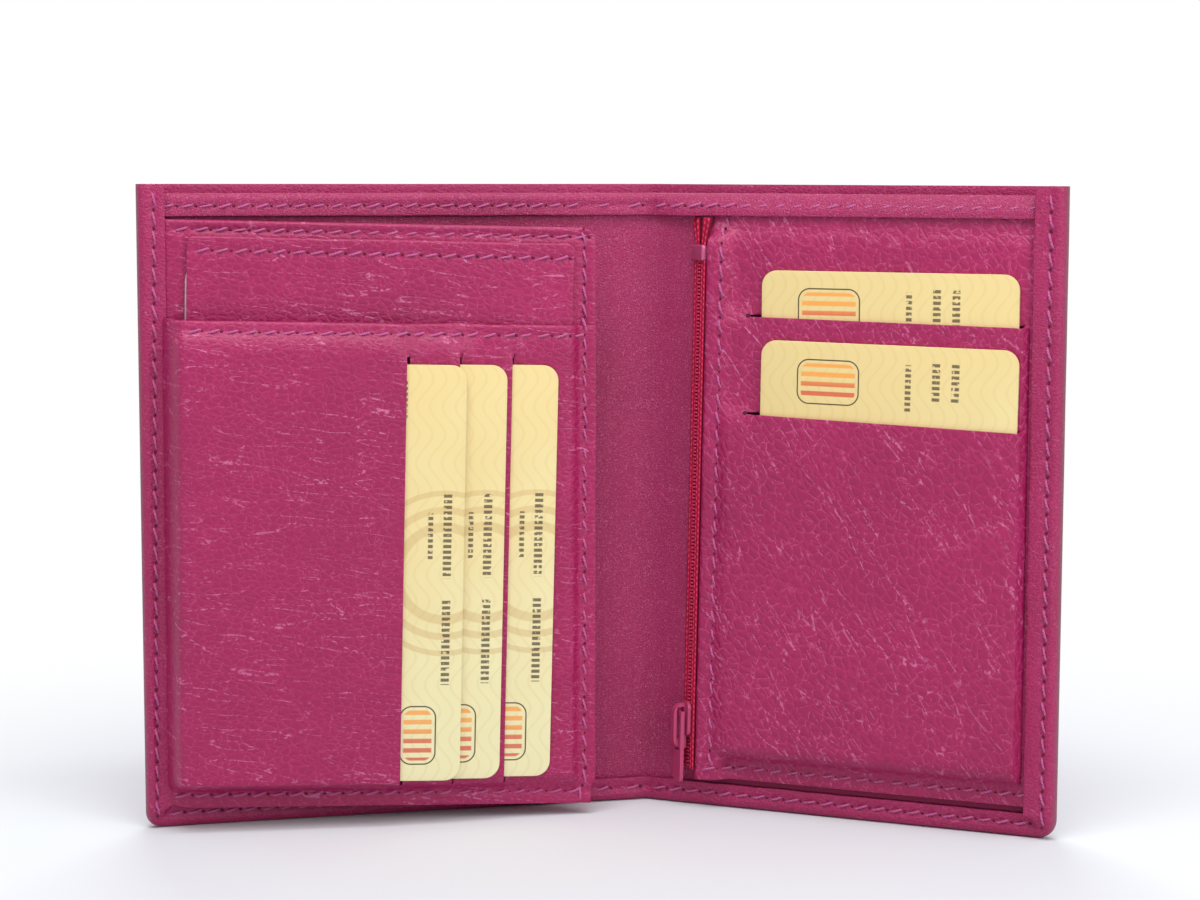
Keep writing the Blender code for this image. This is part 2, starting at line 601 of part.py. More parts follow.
def build_flap(wing):
    hem_edge = HEM_LEFT - LEFT_WIDTH
    tuck = hem_edge - ROOT_TUCK
    outline = rounded((tuck, HEM_BOTTOM + LAYER_GAP), (hem_edge, BAND_BOTTOM - LAYER_GAP), (0,) * 4)
    place_slab("flap_root", wing, "flap_leather", [outline], LAYER_GAP, ROOT_LEATHER)

    hinge = frame_at("flap_hinge_axis", (hem_edge + LAYER_GAP, -HINGE_LIFT, 0),
                     Euler((0, 0, FLAP_ANGLE)), wing)
    frame = frame_at("flap_frame", (0, 0, 0), Euler((0, FLAP_SAG, 0)), hinge)

    def in_flap(lift):
        return lift - HINGE_LIFT

    corner = FLAP_CORNER
    top_right = flap_right(FLAP_TOP)
    back = rounded((LAYER_GAP, FLAP_BOTTOM), (top_right, FLAP_TOP), (0, 0, corner, 0))
    edge = (FLAP_BOTTOM, FLAP_BOTTOM + FLAP_MARGIN, FLAP_SLIT_FOOT)
    back[1:2] = [(flap_right(v), v) for v in edge]
    place_slab("flap_back", frame, "flap_leather", [back], in_flap(FLAP_BACK_LIFT), FLAP_LEATHER)
    flap_front(frame)

    lining_right = top_right - FLAP_MARGIN - FLAP_RAMP - LAYER_GAP
    lining_foot = FLAP_SLIT_FOOT + LAYER_GAP
    lining_top = FLAP_MOUTH - LAYER_GAP
    outline = rounded((FLAP_SIDE, lining_foot), (lining_right, lining_top), (0,) * 4)
    place_slab("flap_pocket_lining", frame, "lining_fabric", [outline],
               in_flap(FLAP_LINING_LIFT), LINING_THICK)

    low, high = (SLEEVE_SIDE, SLEEVE_BOTTOM), (SLEEVE_RIGHT, SLEEVE_TOP)
    radii = (SLEEVE_CORNER,) * 4
    place_slab("sleeve_face", frame, "flap_leather", [rounded(low, high, radii, SMALL_STEPS)],
               in_flap(SLEEVE_LIFT), SLEEVE_LEATHER)
    place_slab("sleeve_window", frame, "clear_film", [rounded(low, high, radii, SMALL_STEPS)],
               in_flap(WINDOW_LIFT), WINDOW_THICK)

    for k, (slit, shows) in enumerate(zip(FLAP_SLITS, SLIT_SHOWS)):
        level = FLAP_BASE_LIFT + (len(FLAP_SLITS) - k) * FLAP_STEP - CARD_GAP - CARD_THICK
        left = slit + shows - CARD_SHORT
        card(f"card_{k + 1}", frame, left, FLAP_CARD_FOOT, in_flap(level))
    return frame


# zip pocket and panel on the right


def tooth_row(name, frame, side, offset):
    """One row of teeth as a comb: a bar at the tape with a tooth at every pitch."""
    outline = [(TOOTH_ROOT, TEETH_FOOT), (TOOTH_ROOT, TEETH_TOP), (TOOTH_BAR, TEETH_TOP)]
    z = TEETH_TOP - offset
    while z - TOOTH_HEIGHT > TEETH_FOOT:
        outline += [(TOOTH_BAR, z), (TOOTH_TIP, z), (TOOTH_TIP, z - TOOTH_HEIGHT)]
        outline.append((TOOTH_BAR, z - TOOTH_HEIGHT))
        z -= TOOTH_PITCH
    outline.append((TOOTH_BAR, TEETH_FOOT))
    form = bmesh.new()
    corners = [form.verts.new((side * x, -TOOTH_THICK / 2, z)) for x, z in outline]
    face = form.faces.new(corners)
    rear = bmesh.ops.extrude_face_region(form, geom=[face])["geom"]
    rear = [item for item in rear if isinstance(item, bmesh.types.BMVert)]
    bmesh.ops.translate(form, verts=rear, vec=(0, TOOTH_THICK, 0))
    bmesh.ops.recalc_face_normals(form, faces=form.faces)
    mesh = bpy.data.meshes.new(name)
    form.to_mesh(mesh)
    form.free()
    add_part(name, mesh, frame, "zip_tooth")


def build_zip(wing):
    lean = frame_at("zip_lean", (ZIP_X, -ZIP_LIFT, 0), Euler((0, ZIP_LEAN, 0)), wing)
    frame = frame_at("zip_frame", (0, 0, 0), Euler((0, 0, ZIP_TURN)), lean)
    tape_top = BAND_BOTTOM - LAYER_GAP
    tape_root = TOOTH_ROOT + THIN_GAP
    for name, side in (("zip_tape_front", 1), ("zip_tape_back", -1)):
        x0, x1 = sorted((side * tape_root, side * ZIP_HALF_WIDTH))
        outline = rounded((x0, ZIP_FOOT), (x1, tape_top), (0,) * 4)
        place_slab(name, frame, "zip_tape", [outline], -TAPE_THICK / 2, TAPE_THICK)
    tooth_row("zip_teeth_front", frame, 1, TOOTH_PITCH / 4)
    tooth_row("zip_teeth_back", frame, -1, TOOTH_PITCH * 3 / 4)

    clip = rounded((-CLIP_WIDTH / 2, CLIP_FOOT), (CLIP_WIDTH / 2, CLIP_FOOT + CLIP_HEIGHT), (0,) * 4)
    clip_lift = TAPE_THICK / 2 + THIN_GAP
    place_slab("zip_end_clip", frame, "painted_zip", [clip], clip_lift, CLIP_THICK, EDGE_ROUND / 2)

    plate_lift = TOOTH_THICK / 2 + LAYER_GAP
    slider = frame_at("zip_slider_frame", (0, 0, SLIDER_FOOT), Euler((0, 0, 0)), frame)
    half = SLIDER_WIDTH / 2
    body = rounded((-half, 0), (half, SLIDER_HEIGHT), (SLIDER_CORNER,) * 4, SMALL_STEPS)
    behind = rounded((-SLIDER_BACK_WIDTH / 2, 0), (SLIDER_BACK_WIDTH / 2, SLIDER_HEIGHT), (0,) * 4)
    place_slab("zip_slider_back", slider, "painted_zip", [behind], -plate_lift - SLIDER_BACK_PLATE,
               SLIDER_BACK_PLATE)
    part = place_slab("zip_slider", slider, "painted_zip", [body], plate_lift, SLIDER_PLATE)

    seat = -plate_lift - SLIDER_PLATE
    crown_back = seat + SLIDER_PLATE / 2
    crown_front = seat - CROWN_REACH
    foot = CROWN_FOOT - SLIDER_FOOT
    top = foot + CROWN_HEIGHT
    outer = rounded((crown_front, foot), (crown_back, top), (CROWN_LEG, 0, 0, CROWN_LEG))
    window = rounded((crown_front + CROWN_BAR, foot + CROWN_LEG),
                     (seat - THIN_GAP, top - CROWN_BAR), (0,) * 4)
    crown = bpy.data.objects.new("zip_crown", slab("zip_crown", [outer, window], CROWN_WIDTH, "x"))
    crown.parent = part
    crown.location.y = -part.location.y
    crown.hide_render = True
    crown.display_type = "WIRE"
    cutters.objects.link(crown)
    union = part.modifiers.new("crown", "BOOLEAN")
    union.operation = "UNION"
    union.object = crown

    axis_y = (crown_front + CROWN_BAR + seat - THIN_GAP) / 2
    axis_z = foot + PULL_HANG
    pull = frame_at("zip_pull_frame", (0, axis_y, axis_z), Euler((0, 0, 0)), slider)
    half = PULL_WIDTH / 2
    tab = rounded((-half, PULL_BAR / 2 - PULL_LENGTH), (half, PULL_BAR / 2),
                  (PULL_CORNER, PULL_CORNER, 0, 0))
    inner = half - PULL_LEG
    eye = rounded((-inner, -PULL_EYE_FOOT), (inner, -PULL_BAR / 2), (0,) * 4)
    place_slab("zip_pull", pull, "painted_zip", [tab, eye], -PULL_THICK / 2, PULL_THICK)


def build_right(wing):
    pocket_left = PANEL_LEFT_TOP + LAYER_GAP
    hem_start = RIGHT_WIDTH - HEM_RIGHT
    pocket_top = BAND_BOTTOM - PANEL_RAMP
    outline = rounded((pocket_left, HEM_BOTTOM + LAYER_GAP), (hem_start, pocket_top), (0,) * 4)
    place_slab("zip_pocket_back", wing, "lining_fabric", [outline], POCKET_LIFT, POCKET_FABRIC)
    card_panel(wing)
    left = PANEL_LEFT_TOP + PANEL_RAMP
    foot = PANEL_BOTTOM + PANEL_RAMP
    outline = rounded((left, foot), (PANEL_CARD_RIGHT, BAND_BOTTOM - PANEL_LINING_DROP), (0,) * 4)
    place_slab("panel_lining", wing, "lining_fabric", [outline], PANEL_LINING_LIFT, LINING_THICK)
    level = PANEL_BASE_LIFT + PANEL_LEATHER + CARD_GAP
    card("card_a", wing, PANEL_CARD_LEFT, SLIT_A + CARD_A_SHOWS - CARD_LONG, level)
    card("card_b", wing, PANEL_CARD_LEFT, SLIT_B + CARD_B_SHOWS - CARD_LONG, level + PANEL_STEP,
         CARD_B_TILT)
    build_zip(wing)


def stand_at_origin(root):
    """Moves the wallet so that the middle of its box, at the floor, is the origin."""
    graph = bpy.context.evaluated_depsgraph_get()
    corners = []
    for part in parts.objects:
        if part.type == "MESH":
            solid = part.evaluated_get(graph)
            corners += [solid.matrix_world @ v.co for v in solid.data.vertices]
    for axis in (0, 1):
        values = [corner[axis] for corner in corners]
        root.location[axis] -= (min(values) + max(values)) / 2
    root.location.z -= min(corner.z for corner in corners)


def build():
    root = frame_at("wallet_frame", (0, 0, 0))
    spine = frame_at("spine_frame", (0, 0, 0), Euler((0, 0, LEFT_ANGLE)), root)
    left = frame_at("left_fold_axis", (0, 0, 0), Euler((0, 0, LEFT_ANGLE)), root)
    right_place = (SPINE_WIDTH * math.cos(LEFT_ANGLE), SPINE_WIDTH * math.sin(LEFT_ANGLE), 0)
    right = frame_at("right_fold_axis", right_place, Euler((0, 0, RIGHT_ANGLE)), root)

    left_hem = (HEM_LEFT, LEFT_LIP, LEFT_LIP_FRONT, CORNER_LEFT)
    right_hem = (HEM_RIGHT, RIGHT_LIP, RIGHT_LIP_FRONT, CORNER_RIGHT)
    wings = (
        ("left", left, -LEFT_WIDTH, -HALF_CREASE, left_hem, None),
        ("spine", spine, HALF_CREASE, SPINE_WIDTH - HALF_CREASE, None, None),
        ("right", right, HALF_CREASE, RIGHT_WIDTH, None, right_hem),
    )
    edge = EDGE_WALL + LAYER_GAP
    for name, frame, x0, x1, hem_left, hem_right in wings:
        cover_piece("cover_" + name, frame, x0, x1, hem_left, hem_right)
        wall_left = x0 + edge if hem_left else x0
        wall_right = x1 - edge if hem_right else x1
        foot_radii = tuple(hem[3] - EDGE_WALL if hem else 0 for hem in (hem_left, hem_right))
        inner_wall("divider_" + name, frame, wall_left, wall_right, foot_radii)
        lip = BAND_LIP if hem_right else 0
        room = crease_room(max(lip, LAYER_GAP) + BAND_LEATHER)
        band_left = x0 + HEM_LEFT + LAYER_GAP if hem_left else x0 + room
        band_right = x1 - HEM_RIGHT - LAYER_GAP if hem_right else x1 - room
        top_band("top_band_" + name, frame, band_left, band_right, lip)

    build_flap(left)
    build_right(right)
    bpy.context.view_layer.update()
    stand_at_origin(root)
    bpy.context.view_layer.update()


clear_scene()
parts = new_collection("compact_wallet")
cutters = new_collection("cutters")
build()
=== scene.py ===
import json
import math

import bmesh
import bpy
from mathutils import Matrix, Vector, noise


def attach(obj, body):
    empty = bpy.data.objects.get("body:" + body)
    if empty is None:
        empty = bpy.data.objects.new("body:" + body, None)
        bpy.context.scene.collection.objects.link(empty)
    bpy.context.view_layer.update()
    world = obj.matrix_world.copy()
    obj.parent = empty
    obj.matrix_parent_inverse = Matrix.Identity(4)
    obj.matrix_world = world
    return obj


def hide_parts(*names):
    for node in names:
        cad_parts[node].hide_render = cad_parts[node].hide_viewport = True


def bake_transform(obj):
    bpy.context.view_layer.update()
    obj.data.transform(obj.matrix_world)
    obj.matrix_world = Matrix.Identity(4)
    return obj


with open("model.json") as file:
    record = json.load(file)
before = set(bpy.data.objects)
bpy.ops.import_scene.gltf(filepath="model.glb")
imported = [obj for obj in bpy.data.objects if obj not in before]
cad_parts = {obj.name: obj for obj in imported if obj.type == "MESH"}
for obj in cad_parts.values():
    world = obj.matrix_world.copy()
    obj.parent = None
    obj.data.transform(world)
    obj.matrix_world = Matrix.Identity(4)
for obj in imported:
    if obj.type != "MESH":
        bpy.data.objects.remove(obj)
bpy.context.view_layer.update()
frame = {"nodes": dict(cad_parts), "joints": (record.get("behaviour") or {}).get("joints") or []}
mm = 0.001
black, white = (0, 0, 0, 1), (1, 1, 1, 1)

# Lengths are in millimetres and angles in degrees. On a panel, x runs right along it from its fold,
# lift is the distance in front of its inner wall, and z is the height above the floor.
wallet = {
    "height": 131.6, "leftWidth": 93.2, "spineWidth": 13.2, "rightWidth": 89.2,
    "leftAngle": 15.6, "rightAngle": -21.3, "bendHalf": 3.0,
}
flapPlace = {"angle": -5.3, "sag": 1.3, "lift": 2.35}
zipPlace = {"x": 10.5, "lift": 2.0, "turn": -45, "lean": 1.07}


def turned(angle, axis):
    return Matrix.Rotation(math.radians(angle), 4, axis)


def ramp(value, low, high):
    # 0 below low, 1 above high, and straight between them
    return min(max((value - low) / (high - low), 0), 1)


def smooth(value, low, high):
    t = ramp(value, low, high)
    return t * t * (3 - 2 * t)


def falling(value, low, high):
    return 1 - smooth(value, low, high)


def mix(a, b, share):
    return a + (b - a) * share


def wobble(place, size, seed=0):
    # a gentle unevenness, the same at each run
    x, y, z = place
    return noise.noise(Vector((x / size + seed, y / size, z / size)))


def steps(low, high, pitch, extra=()):
    # evenly spaced stops from low to high, with a few that have to be there
    count = max(1, round((high - low) / pitch))
    stops = [low + (high - low) * i / count for i in range(count + 1)]
    for value in extra:
        near = min(range(len(stops)), key=lambda i: abs(stops[i] - value))
        if abs(stops[near] - value) < pitch * 0.3 and 0 < near < count:
            stops[near] = value
        elif low < value < high:
            stops.append(value)
    return sorted(set(stops))


class Panel:
    # a flat panel of the wallet, standing where the frame holds it
    def __init__(self, origin, *turns, restLift=0):
        self.matrix = Matrix.Translation(origin)
        for turn in turns:
            self.matrix = self.matrix @ turn
        self.restLift = restLift

    def at(self, x, lift, z):
        return self.matrix @ (Vector((x, self.restLift - lift, z)) * mm)

    def facing(self):
        return self.matrix.to_3x3() @ Vector((0, -1, 0))


class Crease:
    # a sheet that turns from one panel to the next about the fold, x = 0
    def __init__(self, origin, before, after):
        self.origin, self.before, self.after = origin, before, after

    def at(self, x, lift, z):
        bend = smooth(x, -wallet["bendHalf"], wallet["bendHalf"])
        return self.origin + turned(mix(self.before, self.after, bend), "Z") @ (Vector((x, -lift, z)) * mm)


jointAt = {joint["name"]: Vector(joint["pos_m"]) for joint in frame["joints"] if joint.get("pos_m")}
spineTurn, rightTurn = turned(wallet["leftAngle"], "Z"), turned(wallet["rightAngle"], "Z")
leftWing = Panel(jointAt["left_fold"], spineTurn)
rightWing = Panel(jointAt["right_fold"], rightTurn)
flap = Panel(jointAt["flap_swing"], spineTurn, turned(flapPlace["angle"], "Z"), turned(flapPlace["sag"], "Y"),
             restLift=flapPlace["lift"])
zipLine = Panel(rightWing.at(zipPlace["x"], zipPlace["lift"], 0), rightTurn, turned(zipPlace["lean"], "Y"),
                turned(zipPlace["turn"], "Z"))

# the two halves of every sheet that crosses the spine, which meet in its middle
spineHalf = wallet["spineWidth"] / 2
sides = {
    "left": {"crease": Crease(jointAt["left_fold"], wallet["leftAngle"], wallet["leftAngle"]),
             "end": spineHalf, "bodies": ("left_wing", "spine"), "nodes": ("left", "spine"), "shift": 0},
    "right": {"crease": Crease(jointAt["right_fold"], wallet["leftAngle"], wallet["rightAngle"]),
              "end": -spineHalf, "bodies": ("spine", "right_wing"), "nodes": ("right",),
              "shift": wallet["spineWidth"]},
}


class Nodes:
    # a node tree, whose nodes all come from add: a type, the values or links of sockets, and settings
    def __init__(self, tree):
        self.tree = tree

    def add(self, kind, sockets=None, **settings):
        node = self.tree.nodes.new(kind)
        for key, value in settings.items():
            setattr(node, key, value)
        self.fill(node, sockets or {})
        return node

    def fill(self, node, sockets):
        for key, value in sockets.items():
            if isinstance(value, bpy.types.Node):
                value = value.outputs[0]
            if isinstance(value, Value):
                value = value.socket
            if isinstance(value, bpy.types.NodeSocket):
                self.tree.links.new(value, node.inputs[key])
            else:
                node.inputs[key].default_value = value

    def value(self, node, name=0):
        return Value(self, node.outputs[name])

    def math(self, operation, *numbers):
        return self.value(self.add("ShaderNodeMath", dict(enumerate(numbers)), operation=operation))

    def seenBy(self, *rays):
        # 1 for these kinds of ray
        path = self.add("ShaderNodeLightPath")
        seen, *others = [self.value(path, f"Is {ray} Ray") for ray in rays]
        for other in others:
            seen = seen.math("MAXIMUM", other)
        return seen


class Value:
    # a number on a socket, so that Python's operators add Math nodes
    def __init__(self, nodes, socket):
        self.nodes, self.socket = nodes, socket

    def math(self, operation, *others):
        return self.nodes.math(operation, self, *others)

    def __add__(self, other):
        return self.math("ADD", other)

    def __sub__(self, other):
        return self.math("SUBTRACT", other)

    def __rsub__(self, other):
        return self.nodes.math("SUBTRACT", other, self)

    def __mul__(self, other):
        return self.math("MULTIPLY", other)

    def __truediv__(self, other):
        return self.math("DIVIDE", other)

    def __pow__(self, other):
        return self.math("POWER", other)

    __radd__, __rmul__ = __add__, __mul__

    def over(self, low, high):
        # 0 below low, 1 above high, and a smooth rise between them
        sockets = {"Value": self, "From Min": low, "From Max": high}
        return self.nodes.value(self.nodes.add("ShaderNodeMapRange", sockets, interpolation_type="SMOOTHSTEP"))


class Shade(Nodes):
    # one material and its nodes
    def __init__(self, name):
        self.material = bpy.data.materials.new(name)
        self.material.use_nodes = True
        super().__init__(self.material.node_tree)
        self.surface = self.tree.nodes["Principled BSDF"]

    def place(self, stretch=1, turn=0):
        # the object's own coordinates in millimetres, drawn out along a panel in a direction
        here = self.add("ShaderNodeTexCoord").outputs["Object"]
        sockets = {"Vector": here, "Rotation": (0, math.radians(turn), 0), "Scale": (mm / stretch, mm / stretch, mm)}
        return self.add("ShaderNodeMapping", sockets, vector_type="TEXTURE")

    def mapped(self, name):
        split = self.add("ShaderNodeSeparateXYZ", {0: self.add("ShaderNodeUVMap", uv_map=name)})
        return self.value(split, "X"), self.value(split, "Y")

    def colours(self, share, first, second):
        node = self.add("ShaderNodeMix", {"Factor": share, "A": first, "B": second}, data_type="RGBA")
        return node.outputs["Result"]

    def noise(self, place, size, detail=2.0, rough=0.5):
        sockets = {"Vector": place, "Scale": 1 / size, "Detail": detail, "Roughness": rough}
        return self.value(self.add("ShaderNodeTexNoise", sockets), "Fac")

    def finish(self, tone, rough, height=None, depth=0.0, more=None):
        # depth is how far a height of 1 rises
        self.fill(self.surface, {"Base Color": tone, "Roughness": rough, **(more or {})})
        if height is not None:
            bump = self.add("ShaderNodeBump", {"Height": height, "Distance": depth * mm, "Strength": 1.0})
            self.fill(self.surface, {"Normal": bump})
        return self.material


def colour(*levels):
    # a colour, given 0 to 255, as linear light
    shares = [level / 255 for level in levels]
    return (*(s / 12.92 if s <= 0.04045 else ((s + 0.055) / 1.055) ** 2.4 for s in shares), 1)


def mixColour(first, second, share):
    return tuple(mix(a, b, share) for a, b in zip(first, second))


# pale is the colour of the painted highlights on the leather's folds, cell edges and specks
leatherLook = {
    "colour": colour(163, 27, 88), "dark": colour(133, 14, 66), "pale": colour(224, 128, 176),
    "rim": colour(92, 34, 50), "rough": 0.33, "gloss": 0.4, "smear": 26.0, "patch": 11.0, "pore": 0.3,
    "ripples": 17.0, "foldWide": 0.24, "crackWide": 0.055, "seamWide": 0.3, "fineWide": 0.22,
}


def leather(name, cell, depth, turn, stretch, glint, crease, net, specks=0.0, worn=0.0):
    # pebbled leather: raised cells, and fine folds between them, mostly in one direction; the light that the folds,
    # cell edges and specks catch is painted on as pale lines, a painted highlight
    look = leatherLook
    shade = Shade(name)
    here = shade.place()
    grain = shade.place(mix(1, stretch, 0.45), turn)
    warp = shade.add("ShaderNodeTexNoise", {"Vector": grain, "Scale": 1 / (cell * 2.6), "Detail": 2.0})
    bent = shade.add("ShaderNodeVectorMath", {0: warp.outputs["Color"], 1: (cell * 1.3,) * 3, 2: grain},
                     operation="MULTIPLY_ADD")

    def fromEdge(place, density, randomness):
        sockets = {"Vector": place, "Scale": density / cell, "Randomness": randomness}
        return shade.value(shade.add("ShaderNodeTexVoronoi", sockets, feature="DISTANCE_TO_EDGE"), "Distance")

    reach = fromEdge(bent, 1.25, 0.9)
    fine = fromEdge(here, 2.2, 1.0).over(0.0, look["fineWide"])
    pebble = reach.over(0.0, look["seamWide"])
    patch = shade.noise(here, look["patch"], 3.0, 0.6)
    flow = shade.noise(shade.place(stretch * 0.4, turn), cell * 2.0, 2.0, 0.35)
    ripple = (flow * look["ripples"]).math("SINE").math("ABSOLUTE")
    broken = shade.noise(grain, cell * 0.36, 2.0, 0.6)
    folds = (1 - ripple.over(0.0, look["foldWide"])) * broken.over(0.45, 0.58) * patch.over(0.28, 0.6) * crease
    # pale lines along the cell edges: painted highlight
    edgeGlints = (1 - reach.over(0.0, look["crackWide"])) * broken.over(0.44, 0.58) * patch.over(0.2, 0.55) * net
    micro = shade.noise(here, look["pore"])
    height = pebble * 0.6 + fine * 0.22 - folds * 0.6 + micro * 0.08
    cloud = shade.noise(here, look["smear"], 3.0).over(0.25, 0.75)
    tone = shade.colours(cloud, look["colour"], mixColour(look["colour"], look["dark"], 0.4))
    tone = shade.colours(pebble * 0.4, tone, mixColour(look["colour"], look["dark"], 0.8))
    paintedGlints = (folds + edgeGlints + micro.over(0.6, 0.7) * specks).math("MINIMUM", 1.0)
    # painted highlight: folds, cell edges and pore specks are mixed towards the pale colour
    tone = shade.colours(paintedGlints * glint * 0.66, tone, look["pale"])
    if worn:
        rim = shade.value(shade.add("ShaderNodeAttribute", attribute_name="worn"), "Fac")
        tone = shade.colours(rim * worn * (0.4 + patch * 1.2).math("MINIMUM", 1.0), tone, look["rim"])
    rough = look["rough"] + (1 - pebble) * 0.1 - paintedGlints * 0.14 + (1 - fine) * 0.05
    return shade.finish(tone, rough, height, depth, {"Specular IOR Level": look["gloss"]})


def plainFinish(name, tone, rough, metal=0.0, grain=0.4, depth=0.01, variety=0.12):
    # a plain surface with a fine grain and a little change of tone
    shade = Shade(name)
    specks = shade.noise(shade.place(), grain, 3.0)
    cloud = shade.noise(shade.place(), grain * 20)
    shaded = shade.colours(cloud, tone, mixColour(tone, black, variety))
    return shade.finish(shaded, rough + (specks - 0.5) * 0.2, specks, depth, {"Metallic": metal})


def threadFinish():
    # twisted thread, its strands drawn lighter and the grooves between them darker: painted highlight and painted
    # shade
    shade = Shade("thread")
    twist = shade.add("ShaderNodeTexWave", {"Vector": shade.place(), "Scale": 1.1, "Distortion": 0.6},
                      wave_type="BANDS", bands_direction="DIAGONAL")
    strand = shade.value(twist, "Fac")
    # painted highlight on the strands, painted shade between them
    tone = shade.colours(strand * 0.7, colour(160, 52, 116), colour(212, 112, 168))
    rough = 0.55 + shade.noise(shade.place(), 0.2) * 0.2
    return shade.finish(tone, rough, strand, 0.05, {"Sheen Weight": 0.25})


def zipTapeFinish():
    # woven tape: cords along it, crossed by a thread at every pick; the cords' crests are lighter and the grooves
    # between them darker, painted highlight and painted shade, and the crossings palest, a painted highlight
    shade = Shade("zip_tape")
    across, along = shade.mapped("weave")
    cords = (across * (2 * math.pi * 2)).math("SINE").math("ABSOLUTE")
    picks = (along * (2 * math.pi / 1.25) + across * 5.0).math("SINE") * 0.5 + 0.5
    crossingGlints = cords.over(0.55, 0.95) * picks.over(0.35, 0.85)
    fuzz = shade.noise(shade.place(), 0.25, 3.0)
    # painted shade between the cords, painted highlight on their crests
    tone = shade.colours(cords.over(0.1, 0.7), colour(130, 4, 38), colour(196, 14, 66))
    # painted highlight where the cords and picks cross
    tone = shade.colours(crossingGlints * 0.8, tone, colour(236, 84, 128))
    height = cords * 0.6 + crossingGlints * 0.5 + fuzz * 0.3
    return shade.finish(tone, 0.7 + fuzz * 0.2, height, 0.15, {"Specular IOR Level": 0.3})


def filmFinish():
    shade = Shade("clear_film")
    haze = shade.noise(shade.place(), 6.0)
    return shade.finish((0.92, 0.94, 0.96, 1), 0.1 + haze * 0.08, more={"Alpha": 0.35 + haze * 0.1})


cardLook = {
    "long": 85.6, "short": 53.98,
    "pale": colour(232, 226, 178), "deep": colour(224, 202, 140), "line": colour(190, 150, 84),
    "ink": colour(66, 48, 30), "warm": colour(206, 50, 34), "orange": colour(240, 150, 50),
    "arcs": ((13.0, 0.9), (16.5, 0.7), (9.5, 1.2)), "arcsX": 43.0, "arcsY": 4.0,  # radius, width
    "patches": [(3.5, 5.2, 15.5, 12.5), (73.0, 33.0, 82.0, 46.0)],  # left, low, right, high
    "bars": [(20.0, 2.6, 17.5, 4.3), (42.0, 2.6, 17.5, 4.3), (46.0, 6.4, 9.5, 7.4),
             (74.5, 12.0, 8.0, 13.6), (74.5, 16.0, 8.0, 17.6), (72.0, 22.0, 9.8, 23.2)],  # left, low, long, high
    "soft": 0.12, "patchCorner": 2.4, "barPitch": 1.15,
}


def cardFinish():
    # a plain gold bank card of no bank: gold shading, fine wavy rulings, arcs, bars and a bordered patch
    shade, look = Shade("card_gold"), cardLook
    x, y = shade.mapped("cardPlace")
    x, y = x * look["long"], y * look["short"]

    def within(value, low, high):
        soft = look["soft"]
        return value.over(low - soft, low + soft) * (1 - value.over(high - soft, high + soft))

    def rounded(left, low, right, high):
        # distance outside a rounded box, negative inside it
        radius = look["patchCorner"]
        dx = ((x - (left + right) / 2).math("ABSOLUTE") - ((right - left) / 2 - radius)).math("MAXIMUM", 0.0)
        dy = ((y - (low + high) / 2).math("ABSOLUTE") - ((high - low) / 2 - radius)).math("MAXIMUM", 0.0)
        return (dx * dx + dy * dy) ** 0.5 - radius

    rulings = (((x * 0.55).math("SINE") * 1.6 + y) * 2.4).math("SINE").over(0.55, 0.95)
    sweep = (x * 0.008 + y * 0.006 + shade.noise(shade.place(), 18.0) * 0.35).over(0.15, 0.95)
    tone = shade.colours(sweep, look["pale"], look["deep"])
    tone = shade.colours(rulings * 0.1, tone, look["line"])
    arcs, away = 0, ((x - look["arcsX"]) ** 2.0 + (y - look["arcsY"]) ** 2.0) ** 0.5
    for radius, width in look["arcs"]:
        arcs += 1 - (away - radius).math("ABSOLUTE").over(width * 0.6, width)
    tone = shade.colours(arcs.math("MINIMUM", 1.0) * 0.35, tone, look["line"])
    for left, low, right, high in look["patches"]:
        reach = rounded(left, low, right, high)
        border = 1 - reach.math("ABSOLUTE").over(0.07, 0.2)
        inside = 1 - reach.over(-0.9, -0.6)
        tint = shade.colours(((x - left) / (right - left)).over(0.35, 0.65), look["warm"], look["orange"])
        stripes = (x * 3.2).math("SINE").over(-0.2, 0.3)
        tone = shade.colours(inside * stripes * 0.8, tone, tint)
        tone = shade.colours(border, tone, look["ink"])
    dashes = 0
    broken = (x * (2 * math.pi / look["barPitch"])).math("SINE").over(-0.45, 0.0)
    broken = broken * shade.noise(shade.place(), 0.9, 1.0).over(0.3, 0.42)
    for left, low, length, high in look["bars"]:
        dashes += within(x, left, left + length) * within(y, low, high) * broken
    dashes = dashes.math("MINIMUM", 1.0)
    tone = shade.colours(dashes * 0.85, tone, look["ink"])
    fine = shade.noise(shade.place(), 0.3)
    return shade.finish(tone, 0.34 + fine * 0.08, dashes * 0.6 + fine * 0.05, 0.12, {"Coat Roughness": 0.1})


coverLeather = leather("cover_leather", 0.95, 0.09, 20, 0.6, glint=0.7, crease=0.6, net=0.4, specks=0.3, worn=0.75)
innerLeather = leather("inner_leather", 0.62, 0.1, -62, 0.7, glint=0.75, crease=0.4, net=0.8, specks=0.9)
panelLeather = leather("panel_leather", 2.1, 0.15, 57, 0.36, glint=0.9, crease=0.9, net=0.48)
flapLeather = leather("flap_leather", 1.6, 0.09, 7, 0.34, glint=0.9, crease=0.95, net=0.35)
thread, zipTape, clearFilm, cardFace = threadFinish(), zipTapeFinish(), filmFinish(), cardFinish()
# dark discs in the needle holes and punched holes: painted shade
holeShade = plainFinish("needle_hole", colour(86, 12, 50), 0.9)
lining = plainFinish("lining_fabric", colour(120, 18, 62), 0.85, grain=0.5, depth=0.03)
paintedZip = plainFinish("painted_zip", colour(178, 58, 104), 0.32, grain=0.8, depth=0.006, variety=0.05)
clipMetal = plainFinish("clip_metal", colour(186, 84, 128), 0.16, metal=0.35, grain=1.5, depth=0.004, variety=0.05)
zipTooth = plainFinish("zip_tooth", colour(206, 44, 92), 0.4, grain=0.3)
print("finishes ready")


